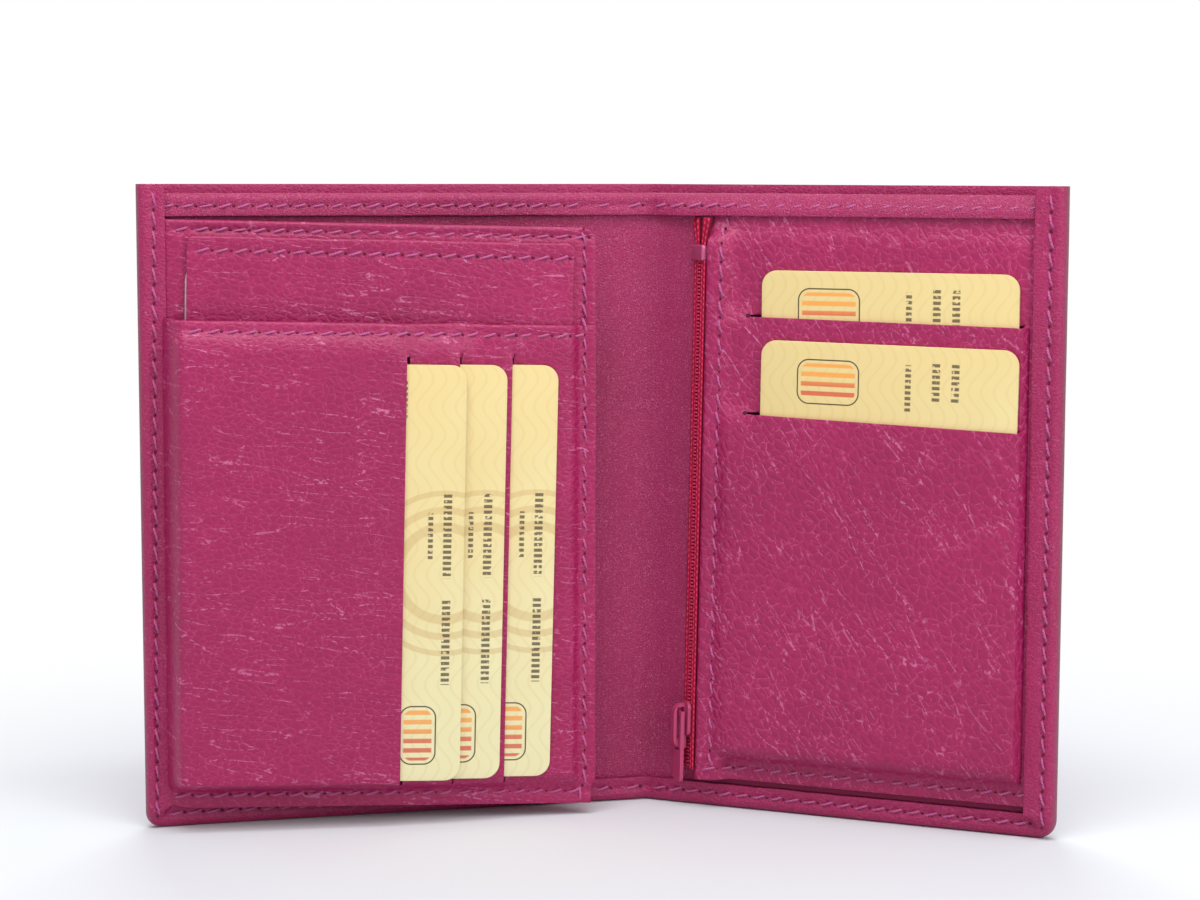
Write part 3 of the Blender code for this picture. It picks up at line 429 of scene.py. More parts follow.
def linked(name, mesh):
    piece = bpy.data.objects.new(name, mesh)
    bpy.context.scene.collection.objects.link(piece)
    return piece


def meshObject(name, form, material):
    bmesh.ops.remove_doubles(form, verts=form.verts, dist=0.02 * mm)
    mesh = bpy.data.meshes.new(name)
    form.to_mesh(mesh)
    form.free()
    mesh.materials.append(material)
    return linked(name, mesh)


sharpAngle = math.radians(50)


def bake(piece, sharp=sharpAngle):
    # turns the modifiers into plain mesh
    graph = bpy.context.evaluated_depsgraph_get()
    mesh = bpy.data.meshes.new_from_object(piece.evaluated_get(graph))
    piece.modifiers.clear()
    piece.data = mesh
    mesh.shade_smooth()
    mesh.set_sharp_from_angle(angle=sharp)
    return piece


def leatherThickness(piece, thickness, edge, buttSide=None):
    # thickness goes behind the face; edges are rounded, but not where two halves meet in the spine
    solid = piece.modifiers.new("thickness", "SOLIDIFY")
    solid.thickness, solid.offset, solid.use_even_offset = thickness * mm, -1, True
    bake(piece)
    form = bmesh.new()
    form.from_mesh(piece.data)
    if buttSide:
        crease, x = sides[buttSide]["crease"], sides[buttSide]["end"]
        meet = crease.at(x, 0, 0)
        way = (meet - crease.at(x - 1, 0, 0)).normalized()

    def meeting(edge):
        return buttSide and all(abs((vert.co - meet).dot(way)) < 0.08 * mm for vert in edge.verts)

    corners = [e for e in form.edges if len(e.link_faces) == 2 and e.calc_face_angle() > sharpAngle
               and not meeting(e)]
    bmesh.ops.bevel(form, geom=corners, offset=edge * mm, segments=2, profile=0.5, affect="EDGES", clamp_overlap=True)
    form.to_mesh(piece.data)
    form.free()
    return bake(piece)


def sheet(name, material, columns, rows, place, thickness, gone=None, edge=0.16, mapName=None, buttSide=None):
    # a leather sheet on a grid, whose face is towards the reader; place gives a point for a column and a row
    form = bmesh.new()
    grid = [[form.verts.new(place(c, r)) for c in columns] for r in rows]
    spots = {vert: (c, r) for line, r in zip(grid, rows) for vert, c in zip(line, columns)}
    for j in range(len(rows) - 1):
        for i in range(len(columns) - 1):
            middle = (columns[i] + columns[i + 1]) / 2, (rows[j] + rows[j + 1]) / 2
            if not (gone and gone(*middle)):
                form.faces.new((grid[j][i], grid[j][i + 1], grid[j + 1][i + 1], grid[j + 1][i]))
    if mapName:
        layer = form.loops.layers.uv.new(mapName)
        for loop in (loop for face in form.faces for loop in face.loops):
            loop[layer].uv = spots[loop.vert]
    bmesh.ops.delete(form, geom=[v for v in form.verts if not v.link_faces], context="VERTS")
    return leatherThickness(meshObject(name, form, material), thickness, edge, buttSide)


def slab(name, material, panel, points, back, front, edge):
    # a flat piece of any outline between two lifts, with rounded edges
    form = bmesh.new()
    face = form.faces.new([form.verts.new(panel.at(x, back, z)) for x, z in points])
    result = bmesh.ops.extrude_face_region(form, geom=[face])
    verts = [item for item in result["geom"] if isinstance(item, bmesh.types.BMVert)]
    bmesh.ops.translate(form, verts=verts, vec=panel.at(0, front, 0) - panel.at(0, back, 0))
    bmesh.ops.recalc_face_normals(form, faces=form.faces)
    piece = meshObject(name, form, material)
    bevel = piece.modifiers.new("soft edges", "BEVEL")
    bevel.width, bevel.segments = edge * mm, 3
    bevel.limit_method, bevel.angle_limit = "ANGLE", sharpAngle
    return bake(piece)


def roundedBox(x0, z0, x1, z1, radius=0, count=6):
    # the outline of a box from its lower left corner, anticlockwise
    points = []
    for k, (x, z, sx, sz) in enumerate(((x0, z0, 1, 1), (x1, z0, -1, 1), (x1, z1, -1, -1), (x0, z1, 1, -1))):
        for i in range(count + 1):
            a = math.pi + (k + i / count) * math.pi / 2
            points.append((x + sx * radius + radius * math.cos(a), z + sz * radius + radius * math.sin(a)))
    return list(dict.fromkeys(points))


def rolledOver(z, top, radius):
    # how far a turned edge falls back near its top
    near = max(radius - (top - z), 0)
    return radius - math.sqrt(max(radius ** 2 - near ** 2, 0))


def topRows(top, radius):
    return [top - radius * share for share in (0.0, 0.03, 0.1, 0.22, 0.4, 0.65, 1.0, 1.5)]


def standsFor(piece, body=None, nodes=()):
    if body:
        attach(piece, body)
    if nodes:
        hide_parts(*nodes)


def joinHalf(piece, side, stem):
    # the sheet keeps its place, and the parts that it stands for are hidden
    crease, half = sides[side]["crease"], wallet["bendHalf"]
    before, after = sides[side]["bodies"]
    crease.at(-half, 0, 0)
    crease.at(half, 0, 0)
    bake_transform(piece)
    standsFor(piece, nodes=[f"{stem}_{part}" for part in sides[side]["nodes"]])


# seams: points with the way that the thread faces, kept by the body that carries them
seams = {}
stitchLook = {"pitch": 3.72, "length": 2.9, "thickness": 0.46, "rise": 0.34, "sink": 0.3, "hole": 0.4,
              "slant": math.radians(15), "uneven": math.radians(9), "unevenSize": 0.16}


def seam(body, points, facing):
    seams.setdefault(body, []).append((points, facing))


def groove(distance, along, depth=0.26, width=0.75):
    # how deep a seam pulls the leather down at a distance from it, more at each needle hole
    pucker = 0.95 + 0.3 * math.cos(2 * math.pi * along / stitchLook["pitch"])
    return depth * pucker * math.exp(-(distance / width) ** 2)


def besideSeam(at):
    return [at + d for d in (-1.8, -1.2, -0.8, -0.4, 0, 0.4, 0.8, 1.2, 1.8)]


# card slits in the flap and in the panel: half their width, and how far the leather slopes beyond their ends
slitLook = {"half": 0.2, "spread": 3}


def besideSlits(slits):
    half, spread = slitLook.values()
    return [at + d for at in slits for d in (-spread, -2, -1, -0.5, -half, half, 0.5, 1, 2, spread)]


def inSlit(across, along, size):
    low, high = size["slitEnds"]
    return low < along < high and any(abs(across - at) < slitLook["half"] for at in size["slits"])


def layersAt(place, slits, uncut):
    # how many cards lie under the leather: a step at each slit, and a slope where the leather is uncut
    spread = slitLook["spread"]
    return sum(mix(1 if place < at else 0, 1 - smooth(place, at - spread, at + spread), uncut) for at in slits)


def attribute(nodes, name):
    return nodes.add("GeometryNodeInputNamedAttribute", {"Name": name}, data_type="FLOAT_VECTOR")


def emptyTree(name, inputs):
    # a Geometry Nodes tree on a line, with named inputs for sizes
    tree = bpy.data.node_groups.new(name, "GeometryNodeTree")
    for label, kind in {"Line": "Geometry", **inputs}.items():
        tree.interface.new_socket(label, in_out="INPUT", socket_type="NodeSocket" + kind)
    tree.interface.new_socket("Mesh", in_out="OUTPUT", socket_type="NodeSocketGeometry")
    nodes = Nodes(tree)
    group = nodes.add("NodeGroupInput")
    given = {label: nodes.value(group, label) for label in ("Line", *inputs)}
    curve = nodes.add("GeometryNodeMeshToCurve", {"Mesh": given["Line"]})
    even = nodes.add("GeometryNodeResampleCurve", {"Curve": curve, "Length": given["Pitch"]}, mode="LENGTH")
    return nodes, given, even, attribute(nodes, "facing")


def stitchTree():
    # a slanting stitch at every pitch of a seam, and a needle hole between each two, drawn as a small dark disc of
    # painted shade
    floats = dict.fromkeys(("Pitch", "Length", "Thickness", "Rise", "Sink", "Slant", "Uneven", "Hole"), "Float")
    nodes, given, even, facing = emptyTree("stitches", {**floats, "Seed": "Int"})
    add, way = nodes.add, attribute(nodes, "way")
    turn = add("FunctionNodeAxesToRotation", {"Primary Axis": facing, "Secondary Axis": way})

    def point(**axes):
        return add("ShaderNodeCombineXYZ", axes)

    def layOn(points, shape, material, **turns):
        laid = add("GeometryNodeInstanceOnPoints", {"Points": points, "Instance": shape, **turns})
        return add("GeometryNodeSetMaterial", {"Geometry": laid, "Material": material})

    spots = add("GeometryNodeCurveToPoints", {"Curve": even}, mode="EVALUATED")
    random = add("FunctionNodeRandomValue", {"Seed": given["Seed"], 2: -0.5, 3: 0.5}, data_type="FLOAT")
    chance = nodes.value(random, 1)
    lean = add("FunctionNodeEulerToRotation", {0: point(Z=given["Slant"] + chance * given["Uneven"])})
    spin = add("FunctionNodeRotateRotation", {"Rotation": turn, "Rotate By": lean}, rotation_space="LOCAL")
    half, low = given["Length"] * 0.5, given["Sink"] * -1.0
    first, crest, last = point(X=half * -1.0, Z=low), point(Z=given["Rise"] * 2.4), point(X=half, Z=low)
    arc = add("GeometryNodeCurveQuadraticBezier", {"Resolution": 6, "Start": first, "Middle": crest, "End": last})
    radius = given["Thickness"] * 0.5
    ring = add("GeometryNodeCurvePrimitiveCircle", {"Resolution": 6, "Radius": radius}, mode="RADIUS")
    tube = add("GeometryNodeCurveToMesh", {"Curve": arc, "Profile Curve": ring, "Fill Caps": True})
    soft = add("GeometryNodeSetShadeSmooth", {"Geometry": tube})
    stitches = layOn(spots, soft, thread, Rotation=spin, Scale=chance * stitchLook["unevenSize"] + 1.0)
    aside = add("ShaderNodeVectorMath", {0: way, "Scale": given["Pitch"] * 0.5}, operation="SCALE")
    between = add("GeometryNodeSetPosition", {"Geometry": spots, "Offset": aside})
    dot = add("GeometryNodeMeshIcoSphere", {"Radius": given["Hole"], "Subdivisions": 1})
    flat = add("GeometryNodeTransform", {"Geometry": dot, "Scale": (1.0, 0.8, 0.35)})
    holes = layOn(between, flat, holeShade, Rotation=turn)
    both = add("GeometryNodeJoinGeometry", {0: stitches})
    nodes.fill(both, {0: holes})
    add("NodeGroupOutput", {0: add("GeometryNodeRealizeInstances", {0: both})})
    return nodes.tree


def grow(name, tree, runs, inputs):
    # the mesh that a tree makes along lines of points, each with the way that it faces
    form = bmesh.new()
    facings, ways = [], []
    for points, facing in runs:
        verts = [form.verts.new(p) for p in points]
        for k in range(len(points)):
            before, after = max(k - 1, 0), min(k + 1, len(points) - 1)
            facings.extend(facing)
            ways.extend((points[after] - points[before]).normalized())
            if k:
                form.edges.new((verts[k - 1], verts[k]))
    mesh = bpy.data.meshes.new(name)
    form.to_mesh(mesh)
    form.free()
    for key, numbers in (("facing", facings), ("way", ways)):
        mesh.attributes.new(key, "FLOAT_VECTOR", "POINT").data.foreach_set("vector", numbers)
    piece = linked(name, mesh)
    nodes = piece.modifiers.new("grown", "NODES")
    nodes.node_group = tree
    for item in tree.interface.items_tree:
        if item.name in inputs:
            nodes[item.identifier] = inputs[item.name]
    return bake(piece, math.radians(60))


def sewSeams():
    tree = stitchTree()
    sizes = {key.title(): stitchLook[key] * mm for key in ("pitch", "length", "thickness", "rise", "sink", "hole")}
    turns = {key.title(): stitchLook[key] for key in ("slant", "uneven")}
    for order, (body, runs) in enumerate(sorted(seams.items())):
        standsFor(grow("stitches_" + body, tree, runs, {**sizes, **turns, "Seed": order}), body)
    print("seams sewn:", len(seams))


def line(panel, start, stop, lift, count=24):
    # points of a straight seam on a panel, whose lift may follow its place
    spots = [(mix(start[0], stop[0], k / count), mix(start[1], stop[1], k / count)) for k in range(count + 1)]
    return [panel.at(x, lift(x, z) if callable(lift) else lift, z) for x, z in spots]


def runsAcross(first, last):
    # a seam from the left wing to the right one, in a stretch for each body
    clear = coverSeam["foldClear"]
    return (("left_wing", leftWing, first, -clear), ("spine", leftWing, clear, wallet["spineWidth"] - clear),
            ("right_wing", rightWing, clear, last))


# outer leather with its turned edges
cover = {"leather": 0.8, "edgeIn": 1.7, "back": 2.6, "rim": 7.0, "bottomHem": 5.0, "bottomLip": 1.1, "mesh": 0.93,
         "left": {"outer": -wallet["leftWidth"], "hem": 5.5, "lip": 2.1, "corner": 3.2},
         "right": {"outer": wallet["rightWidth"], "hem": 6.2, "lip": 2.55, "corner": 3.9}}
coverSeam = {"foldClear": 3.3, "bottom": 2.95, "top": 127.2, "sideTop": 128.4, "sideFoot": 4.6, "sunk": 0.22,
             "left": {"top": 3.4, "foot": 2.2}, "right": {"top": 3.0, "foot": 2.4}, "deep": 0.32, "wide": 0.85,
             "startIn": 6, "endIn": 7}
nearFold = [-4, -3, -2, -1, 0, 1, 2, 3, 4]


def makeCover(side):
    crease, end = sides[side]["crease"], sides[side]["end"]
    outer, hem, lip, corner = cover[side].values()
    way = 1 if side == "left" else -1
    rim, bottom, low, back, inset = (cover[key] for key in ("rim", "bottomHem", "bottomLip", "back", "edgeIn"))
    reach = abs(end - outer)
    rows = steps(rim, wallet["height"], cover["mesh"])
    columns = steps(rim, reach, cover["mesh"], [abs(x - outer) for x in nearFold])
    stations = []  # outline, inward way, raw edge, lift of the lip, place on the back
    for z in [*reversed(rows), bottom, corner]:
        stations.append(((0, z), (1, 0), (hem, max(z, bottom)), lip, (rim, max(z, rim))))
    for k in range(1, 8):
        c, s = math.cos(math.radians(90 * k / 8)), math.sin(math.radians(90 * k / 8))
        stations.append(((corner - corner * c, corner - corner * s), (c, s), (hem, bottom), mix(lip, low, k / 8),
                         (rim, rim)))
    for s in [corner, hem, *columns]:
        stations.append(((s, 0), (0, 1), (max(s, hem), bottom), low, (max(s, rim), rim)))

    form = bmesh.new()
    worn = form.verts.layers.float.new("worn")

    def vertex(s, lift, z, wear=0.0):
        x = outer + way * s
        ripple = wobble((x + sides[side]["shift"], lift, z), 14, 3) * 0.12
        vert = form.verts.new(crease.at(x, lift + ripple * smooth(abs(lift), 0, 1), z))
        vert[worn] = wear
        return vert

    rings = []
    for (s, z), (ns, nz), (rawS, rawZ), front, (backS, backZ) in stations:
        middle, half = (front - back) / 2, (front + back) / 2
        shoulder = (s + inset * ns, z + inset * nz)
        ragged = wobble((rawS, 0, rawZ + s), 6, 8) * 0.15
        raw = (rawS + ragged * ns, rawZ + ragged * nz)
        inward = math.hypot(raw[0] - s, raw[1] - z)
        upright = ns > nz
        seamIn = mix(coverSeam[side]["foot"], coverSeam[side]["top"], z / wallet["height"])
        profile = []
        for share in (k / 9 for k in range(9)):
            distance = mix(inward, inset, share) - (seamIn if upright else coverSeam["bottom"])
            pulled = groove(distance, z if upright else s, coverSeam["deep"], coverSeam["wide"])
            profile.append((mix(raw[0], shoulder[0], share), front - pulled, mix(raw[1], shoulder[1], share)))
        for a in (math.pi * (k / 8 - 0.5) for k in range(9)):
            inward = inset * (1 - math.cos(a) ** 0.8)
            profile.append((s + inward * ns, middle - half * math.sin(a), z + inward * nz))
        profile.append((backS, -back, backZ))
        foldPoint = 13  # the profile's outermost point, where the leather is most worn
        rings.append([vertex(*point, max(0.0, 1 - abs(k - foldPoint) / 2)) for k, point in enumerate(profile)])
    grid = [[vertex(s, -back, z) for s in columns] for z in rows]
    for lines, turn in ((rings, way), (grid, -way)):
        for one, two in zip(lines, lines[1:]):
            for j in range(len(one) - 1):
                form.faces.new((one[j], one[j + 1], two[j + 1], two[j])[::turn])
    piece = meshObject(f"cover_{side}_leather", form, coverLeather)
    joinHalf(leatherThickness(piece, cover["leather"], 0.2, side), side, "cover")


def sewCover():
    place, back, sunk = coverSeam, -cover["back"], coverSeam["sunk"]
    left, right = cover["left"]["outer"] + place["startIn"], cover["right"]["outer"] - place["endIn"]
    for body, panel, side, way in (("left_wing", leftWing, "left", 1), ("right_wing", rightWing, "right", -1)):
        top, foot = (cover[side]["outer"] + way * place[side][key] for key in ("top", "foot"))
        ends = (top, place["sideTop"]), (foot, place["sideFoot"])
        seam(body, line(panel, *ends, cover[side]["lip"] - sunk), panel.facing())
        seam(body, line(panel, *ends, back), -panel.facing())
    for body, panel, x0, x1 in runsAcross(left, right):
        for z, lift, way in ((place["bottom"], cover["bottomLip"] - sunk, 1), (place["bottom"], back, -1),
                             (place["top"], back, -1)):
            seam(body, line(panel, (x0, z), (x1, z), lift), way * panel.facing())


# inner wall and the band that binds its top
wall = {"foot": 1.7, "top": 128.9, "leather": 0.8, "left": -91.2, "right": 87.2}
band = {"foot": 125.1, "shoulder": 128.6, "front": 1.0, "rear": 1.45, "lip": 1.95, "leather": 0.5,
        "left": -90.0, "right": 82.9, "seam": 127.2, "deep": 0.18, "wide": 0.6, "sunk": 0.22,
        "over": (1.0, 8.0), "overTop": (126.6, 129.2), "seamFrom": -87.0, "seamTo": 82.1, "sunkFrom": (20, 25)}


def columnsAcross(side, outer, pitch):
    return steps(*sorted((outer, sides[side]["end"])), pitch, nearFold)


def makeWall(side):
    crease, shift = sides[side]["crease"], sides[side]["shift"]

    def place(x, z):
        return crease.at(x, min(wobble((x + shift, 0, z), 26, 5) * 0.14, 0.1), z)

    piece = sheet(f"inner_wall_{side}", innerLeather, columnsAcross(side, wall[side], 4),
                  steps(wall["foot"], wall["top"], 5), place, wall["leather"], buttSide=side)
    joinHalf(piece, side, "divider")


def bandLift(x, z, side):
    # on the right the band's lower part lies over the card panel
    over = smooth(x, *band["over"]) * falling(z, *band["overTop"]) if side == "right" else 0
    return mix(band["front"], band["lip"], over) - groove(z - band["seam"], x, band["deep"], band["wide"])


def makeBand(side):
    crease, shift = sides[side]["crease"], sides[side]["shift"]
    middle, radius = (band["front"] - band["rear"]) / 2, (band["front"] + band["rear"]) / 2
    front = steps(band["foot"], band["shoulder"], 0.35)
    turns = 7

    def place(x, row):
        ripple = wobble((x + shift, row, 0), 9, 2) * 0.1
        if row < len(front):
            z = front[row]
            return crease.at(x, bandLift(x, z, side) + ripple * 0.4, z + (ripple if row == 0 else 0))
        turn = (row - len(front) + 1) / turns * math.pi
        if turn > math.pi:
            return crease.at(x, -band["rear"], band["foot"] + 1)
        return crease.at(x, middle + radius * math.cos(turn), band["shoulder"] + radius * math.sin(turn))

    piece = sheet(f"top_band_{side}_leather", innerLeather, columnsAcross(side, band[side], 3),
                  list(range(len(front) + turns + 1)), place, band["leather"], buttSide=side)
    joinHalf(piece, side, "top_band")


def sewBand():
    z = band["seam"]
    for body, panel, x0, x1 in runsAcross(band["seamFrom"], band["seamTo"]):

        def lift(x, z, side="right" if body == "right_wing" else "left"):
            # the thread lies deeper where a card slides over it
            return bandLift(x, z, side) - (band["sunk"] * smooth(x, *band["sunkFrom"]) if side == "right" else 0)

        seam(body, line(panel, (x0, z), (x1, z), lift), panel.facing())


for side in sides:
    makeCover(side)
sewCover()
print("cover made")
for make in (makeWall, makeBand):
    for side in sides:
        make(side)
sewBand()
print("inner wall and band made")

# card flap on the left; u runs from its hinge and v is the height along it
flapSizes = {
    "foot": 4.5, "top": 124.6, "mouth": 104.7, "corner": 3.0, "upright": 86.9, "footIn": 0.9, "edge": 84.0,
    "drawnFoot": (7.9, 9.4), "back": 2.1, "backLeather": 0.7, "frontLeather": 0.5, "backRoll": 0.7, "mouthRoll": 0.6,
    "base": 4.6, "step": 1.56, "slits": (45.5, 56.4, 67.3), "slitEnds": (9.4, 98.0),
    "uncutTop": (96.6, 99.4), "uncutFoot": (8.6, 10.8), "dip": 1.6, "dipFrom": 98.5, "dipEnd": (54, 66),
    "sewn": 2.85, "sewnIn": 3.2, "rampIn": 5.4, "footRamp": (7.6, 10.6), "threadIn": 0.15, "topThreadIn": 0.37,
    "edgeSeam": 2.2, "topSeam": 122.7, "footSeam": 7.1, "mouthSeam": 102.5,
    "edgeRun": (6.4, 122.4), "behindRun": (11.0, 122.4), "topRun": (0.3, 81), "footRun": (1.5, 82.4),
    "mouthRun": (2.6, 80.6), "rootX": -89.2, "rootLift": 1.25, "rootFoot": 5.3, "under": -3.4, "shoulder": 3.6,
    "slope": (0.05, 0.65), "bendEnds": (-89.0, -86.4), "lining": (1.4, 10.2, 78.6, 103.8),
    "liningLifts": (3.65, 3.85),
}


def flapEnd(v):
    # the flap's free edge at a height, with its rounded top corner
    size, sag = flapSizes, math.radians(flapPlace["sag"])
    drawn = size["footIn"] * falling(v, *size["drawnFoot"])
    end = (size["upright"] - drawn - v * math.sin(sag)) / math.cos(sag)
    return end - rolledOver(v, size["top"], size["corner"]) + wobble((v, 0, 0), 11, 4) * 0.12


def flapLift(u, v):
    # the front leather's face: it lies over the card on the left of each slit, and under the card on the right
    size = flapSizes
    uncut = max(smooth(v, *size["uncutTop"]), falling(v, *size["uncutFoot"]))
    lift = size["base"] + layersAt(u, size["slits"], uncut) * size["step"]
    lift -= size["dip"] * smooth(v, size["dipFrom"], size["mouth"]) * falling(u, *size["dipEnd"])  # no card there
    lift += wobble((u, v, 0), 17, 1) * 0.22 + wobble((u * 0.4, v * 1.6, 0), 6, 2) * 0.09
    lift -= groove(v - size["mouthSeam"], u, 0.2)
    end = flapEnd(v)
    sewn = max(smooth(u, end - size["rampIn"], end - size["sewnIn"]), falling(v, *size["footRamp"]))
    pulled = max(groove(u - end + size["edgeSeam"], v), groove(v - size["footSeam"], u))
    return mix(lift, size["sewn"] + 0.12 * sewn, sewn) - pulled


def fromHem(u, lift, v):
    # the flap's leather comes out from under the left hem and rises to the flap
    size = flapSizes
    share = ramp(u, size["under"], size["shoulder"])
    end = flap.at(max(u, size["shoulder"]), lift, v)
    if share >= 1:
        return end
    start = leftWing.at(size["rootX"], size["rootLift"], max(v, size["rootFoot"]))
    rise = math.sin(ramp(share, *size["slope"]) * math.pi / 2)
    return start.lerp(end, share) + flap.facing() * (end - start).dot(flap.facing()) * (rise - share)


def bendAtHem(piece, node):
    start, end = (leftWing.at(x, 1, 60) for x in flapSizes["bendEnds"])
    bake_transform(piece)
    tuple(start)
    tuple(end)
    standsFor(piece, nodes=node)


def makeFlap():
    size = flapSizes
    shoulder, edge, wide = size["shoulder"], size["edge"], 80
    underHem = steps(size["under"], shoulder, 0.45)[:-1]
    rows = sorted({*steps(size["foot"], size["top"] - 1.1, 4), *topRows(size["top"], size["backRoll"]),
                   *besideSeam(size["topSeam"])[:-1]})
    columns = [u / wide for u in underHem] + steps(shoulder / wide, 0.94, 1 / 24)
    columns += [k / 200 for k in (*range(190, 199), 200)]

    def backPlace(share, v):
        u = share * wide
        if u > shoulder:
            u = flapEnd(v) if share == 1 else mix(shoulder, flapEnd(v), (u - shoulder) / (wide - shoulder))
        lift = size["back"] + wobble((u, v, 0), 22) * 0.06 - rolledOver(v, size["top"], size["backRoll"])
        lift -= max(groove(v - size["topSeam"], u, 0.42), groove(u - flapEnd(v) + size["edgeSeam"], v, 0.2))
        return fromHem(u, lift, v)

    bendAtHem(sheet("flap_back_leather", flapLeather, columns, rows, backPlace, size["backLeather"]),
              ["flap_root", "flap_back"])

    columns = sorted({*underHem, *steps(shoulder, edge, 1.2, besideSlits(size["slits"])),
                      *besideSeam(edge - size["edgeSeam"])})
    rows = sorted({*steps(size["foot"], size["mouth"] - 0.9, 1.2, size["slitEnds"]), *besideSeam(size["footSeam"]),
                   *besideSeam(size["mouthSeam"])[:-1], *topRows(size["mouth"], size["mouthRoll"])})

    def frontPlace(u, v):
        out = u + (flapEnd(v) - edge) * smooth(u, 76, edge)
        raw = wobble((u, 0, 0), 10, 6) * 0.25 * smooth(v, 103, size["mouth"])
        return fromHem(out, flapLift(out, v) - rolledOver(v, size["mouth"], size["mouthRoll"]), v + raw)

    bendAtHem(sheet("flap_front_leather", flapLeather, columns, rows, frontPlace, size["frontLeather"],
                    lambda u, v: inSlit(u, v, size), edge=0.12), ["flap_front"])
    piece = slab("flap_lining", lining, flap, roundedBox(*size["lining"]), *size["liningLifts"], 0.03)
    standsFor(piece, "card_flap", ["flap_pocket_lining"])


def sewFlap():
    size, out = flapSizes, flap.facing()
    edge, behind = ([(flapEnd(v) - size["edgeSeam"], v) for v in steps(*size[run], 3)]
                    for run in ("edgeRun", "behindRun"))
    for spots, lift, way in (
        ([spot for spot in edge if spot[1] < size["mouth"]], None, out),
        ([spot for spot in edge if spot[1] >= size["mouth"]], size["back"] - size["threadIn"], out),
        ([(u, size["topSeam"]) for u in steps(*size["topRun"], 3)], size["back"] - size["topThreadIn"], out),
        ([(u, size["footSeam"]) for u in steps(*size["footRun"], 1.5)], None, out),
        ([(u, size["mouthSeam"]) for u in steps(*size["mouthRun"], 1.5)], None, out),
        (behind, size["back"] - size["backLeather"], -out),
    ):
        seam("card_flap", [flap.at(u, flapLift(u, v) if lift is None else lift, v) for u, v in spots], way)


# pull-out sleeve: a leather face over a clear window
sleeveSizes = {"left": 1.25, "right": 79.6, "foot": 14.0, "top": 121.4, "corner": 1.5, "face": 3.4, "roll": 0.55,
               "leather": 0.6, "seam": 118.6, "seamFall": 0.004, "filmLifts": (2.35, 2.55), "filmOut": 0.3,
               "filmShows": (112.5, 114), "filmSide": (1, 3), "seamRun": (4.4, 77)}


def makeSleeve():
    size = sleeveSizes
    left, foot, right, top = (size[key] for key in ("left", "foot", "right", "top"))

    def place(c, v):
        inset = rolledOver(v, top, size["corner"])
        u = mix(left + inset, right - inset, c)
        lift = size["face"] + wobble((u, v, 0), 24, 9) * 0.06 - rolledOver(v, top, size["roll"])
        lift -= groove(v - size["seam"] + u * size["seamFall"], u, 0.2)
        return flap.at(u, lift, v + wobble((u, 0, 0), 18, 3) * 0.15)

    rows = sorted({*steps(foot, top - 0.9, 3), *topRows(top, size["roll"]), *besideSeam(size["seam"])})
    piece = sheet("sleeve_leather", flapLeather, steps(0, 1, 1 / 72), rows, place, size["leather"])
    standsFor(piece, "sleeve", ["sleeve_face"])
    # the film shows a little on the left, above the pocket's mouth
    out, (low, high) = size["filmOut"], size["filmShows"]
    points = [(x - out * falling(z, low, high) * falling(x, *size["filmSide"]), z)
              for x, z in roundedBox(left, foot, right, top - 0.3, size["corner"])]
    points += [(left, high), (left - out, low)]
    piece = slab("sleeve_film", clearFilm, flap, points, *size["filmLifts"], 0.05)
    standsFor(piece, "sleeve", ["sleeve_window"])
    lift = size["face"] - flapSizes["threadIn"]
    seam("sleeve", [flap.at(u, lift, size["seam"] - u * size["seamFall"]) for u in steps(*size["seamRun"], 3)],
         flap.facing())


# cards: body, panel, left, foot, lift and tilt
cardSizes = {"long": 85.6, "short": 53.98, "thick": 0.76, "corner": 3.18}
cardPlaces = (("card_1", flap, 3.62, 10.9, 7.87, 0), ("card_2", flap, 12.02, 10.9, 6.31, 0),
              ("card_3", flap, 22.72, 10.9, 4.75, 0), ("card_a", rightWing, 26.3, 28.5, 2.1, 0),
              ("card_b", rightWing, 26.3, 13.9, 3.76, 0.8))


def makeCard(name, panel, left, foot, lift, tilt):
    # a card standing upright; its own place is kept as a map, along and across it, from 0 to 1
    size = cardSizes
    x1, z1 = size["short"] / 2, size["long"] / 2
    middle, lean = Vector((left + x1, 0, foot + z1)), turned(tilt, "Y")
    spread = [middle + lean @ Vector((x, 0, z)) for x, z in roundedBox(-x1, -z1, x1, z1, size["corner"], 8)]
    piece = slab(name + "_printed", cardFace, panel, [(p.x, p.z) for p in spread], lift, lift + size["thick"], 0.12)
    back = (panel.matrix @ Matrix.Translation(middle * mm) @ lean).inverted()
    layer = piece.data.uv_layers.new(name="cardPlace")
    for loop in piece.data.loops:
        here = back @ piece.data.vertices[loop.vertex_index].co / mm
        layer.data[loop.index].uv = here.z / size["long"] + 0.5, 0.5 - here.x / size["short"]
    standsFor(piece, name, [name])


# card panel on the right
panelSizes = {
    "leftTop": 14.8, "leftFoot": 12.6, "foot": 6.5, "top": 126.4, "right": 85.6, "leather": 0.6,
    "base": 1.95, "step": 1.66, "edge": 4.7, "hem": 1.5, "band": 1.0, "roll": 0.75, "turns": 7,
    "flatLeft": 25.5, "flatRight": 81.08, "rampEnd": 82.25, "slitEnds": (23.5, 81.28),
    "slits": {83.7: 1.74, 104.2: 0.95}, "slitGap": 20.5,  # height and slant of each
    "slopeEnd": 83.0, "rolled": (17.6, 20.7), "below": (10.2, 13.4), "underBand": (119.5, 123.7),
    "footSeam": 8.9, "sideSeam": 17.75, "sideSeamIn": 0.3, "middle": 53.29,
    "sideRun": (11.0, 124.0), "footRun": (17.4, 82.6),
}
panelCloths = (("panel_lining_cloth", "panel_lining", (20.4, 12.1, 80.3, 116.7), 0.9, 1.1, 0.03),
               ("zip_pocket_cloth", "zip_pocket_back", (15.1, 5.3, 83.0, 119.5), 0.3, 0.6, 0.05))


def sideSeam(z):
    return panelSizes["sideSeam"] + panelSizes["sideSeamIn"] * smooth(z, 20, 110)


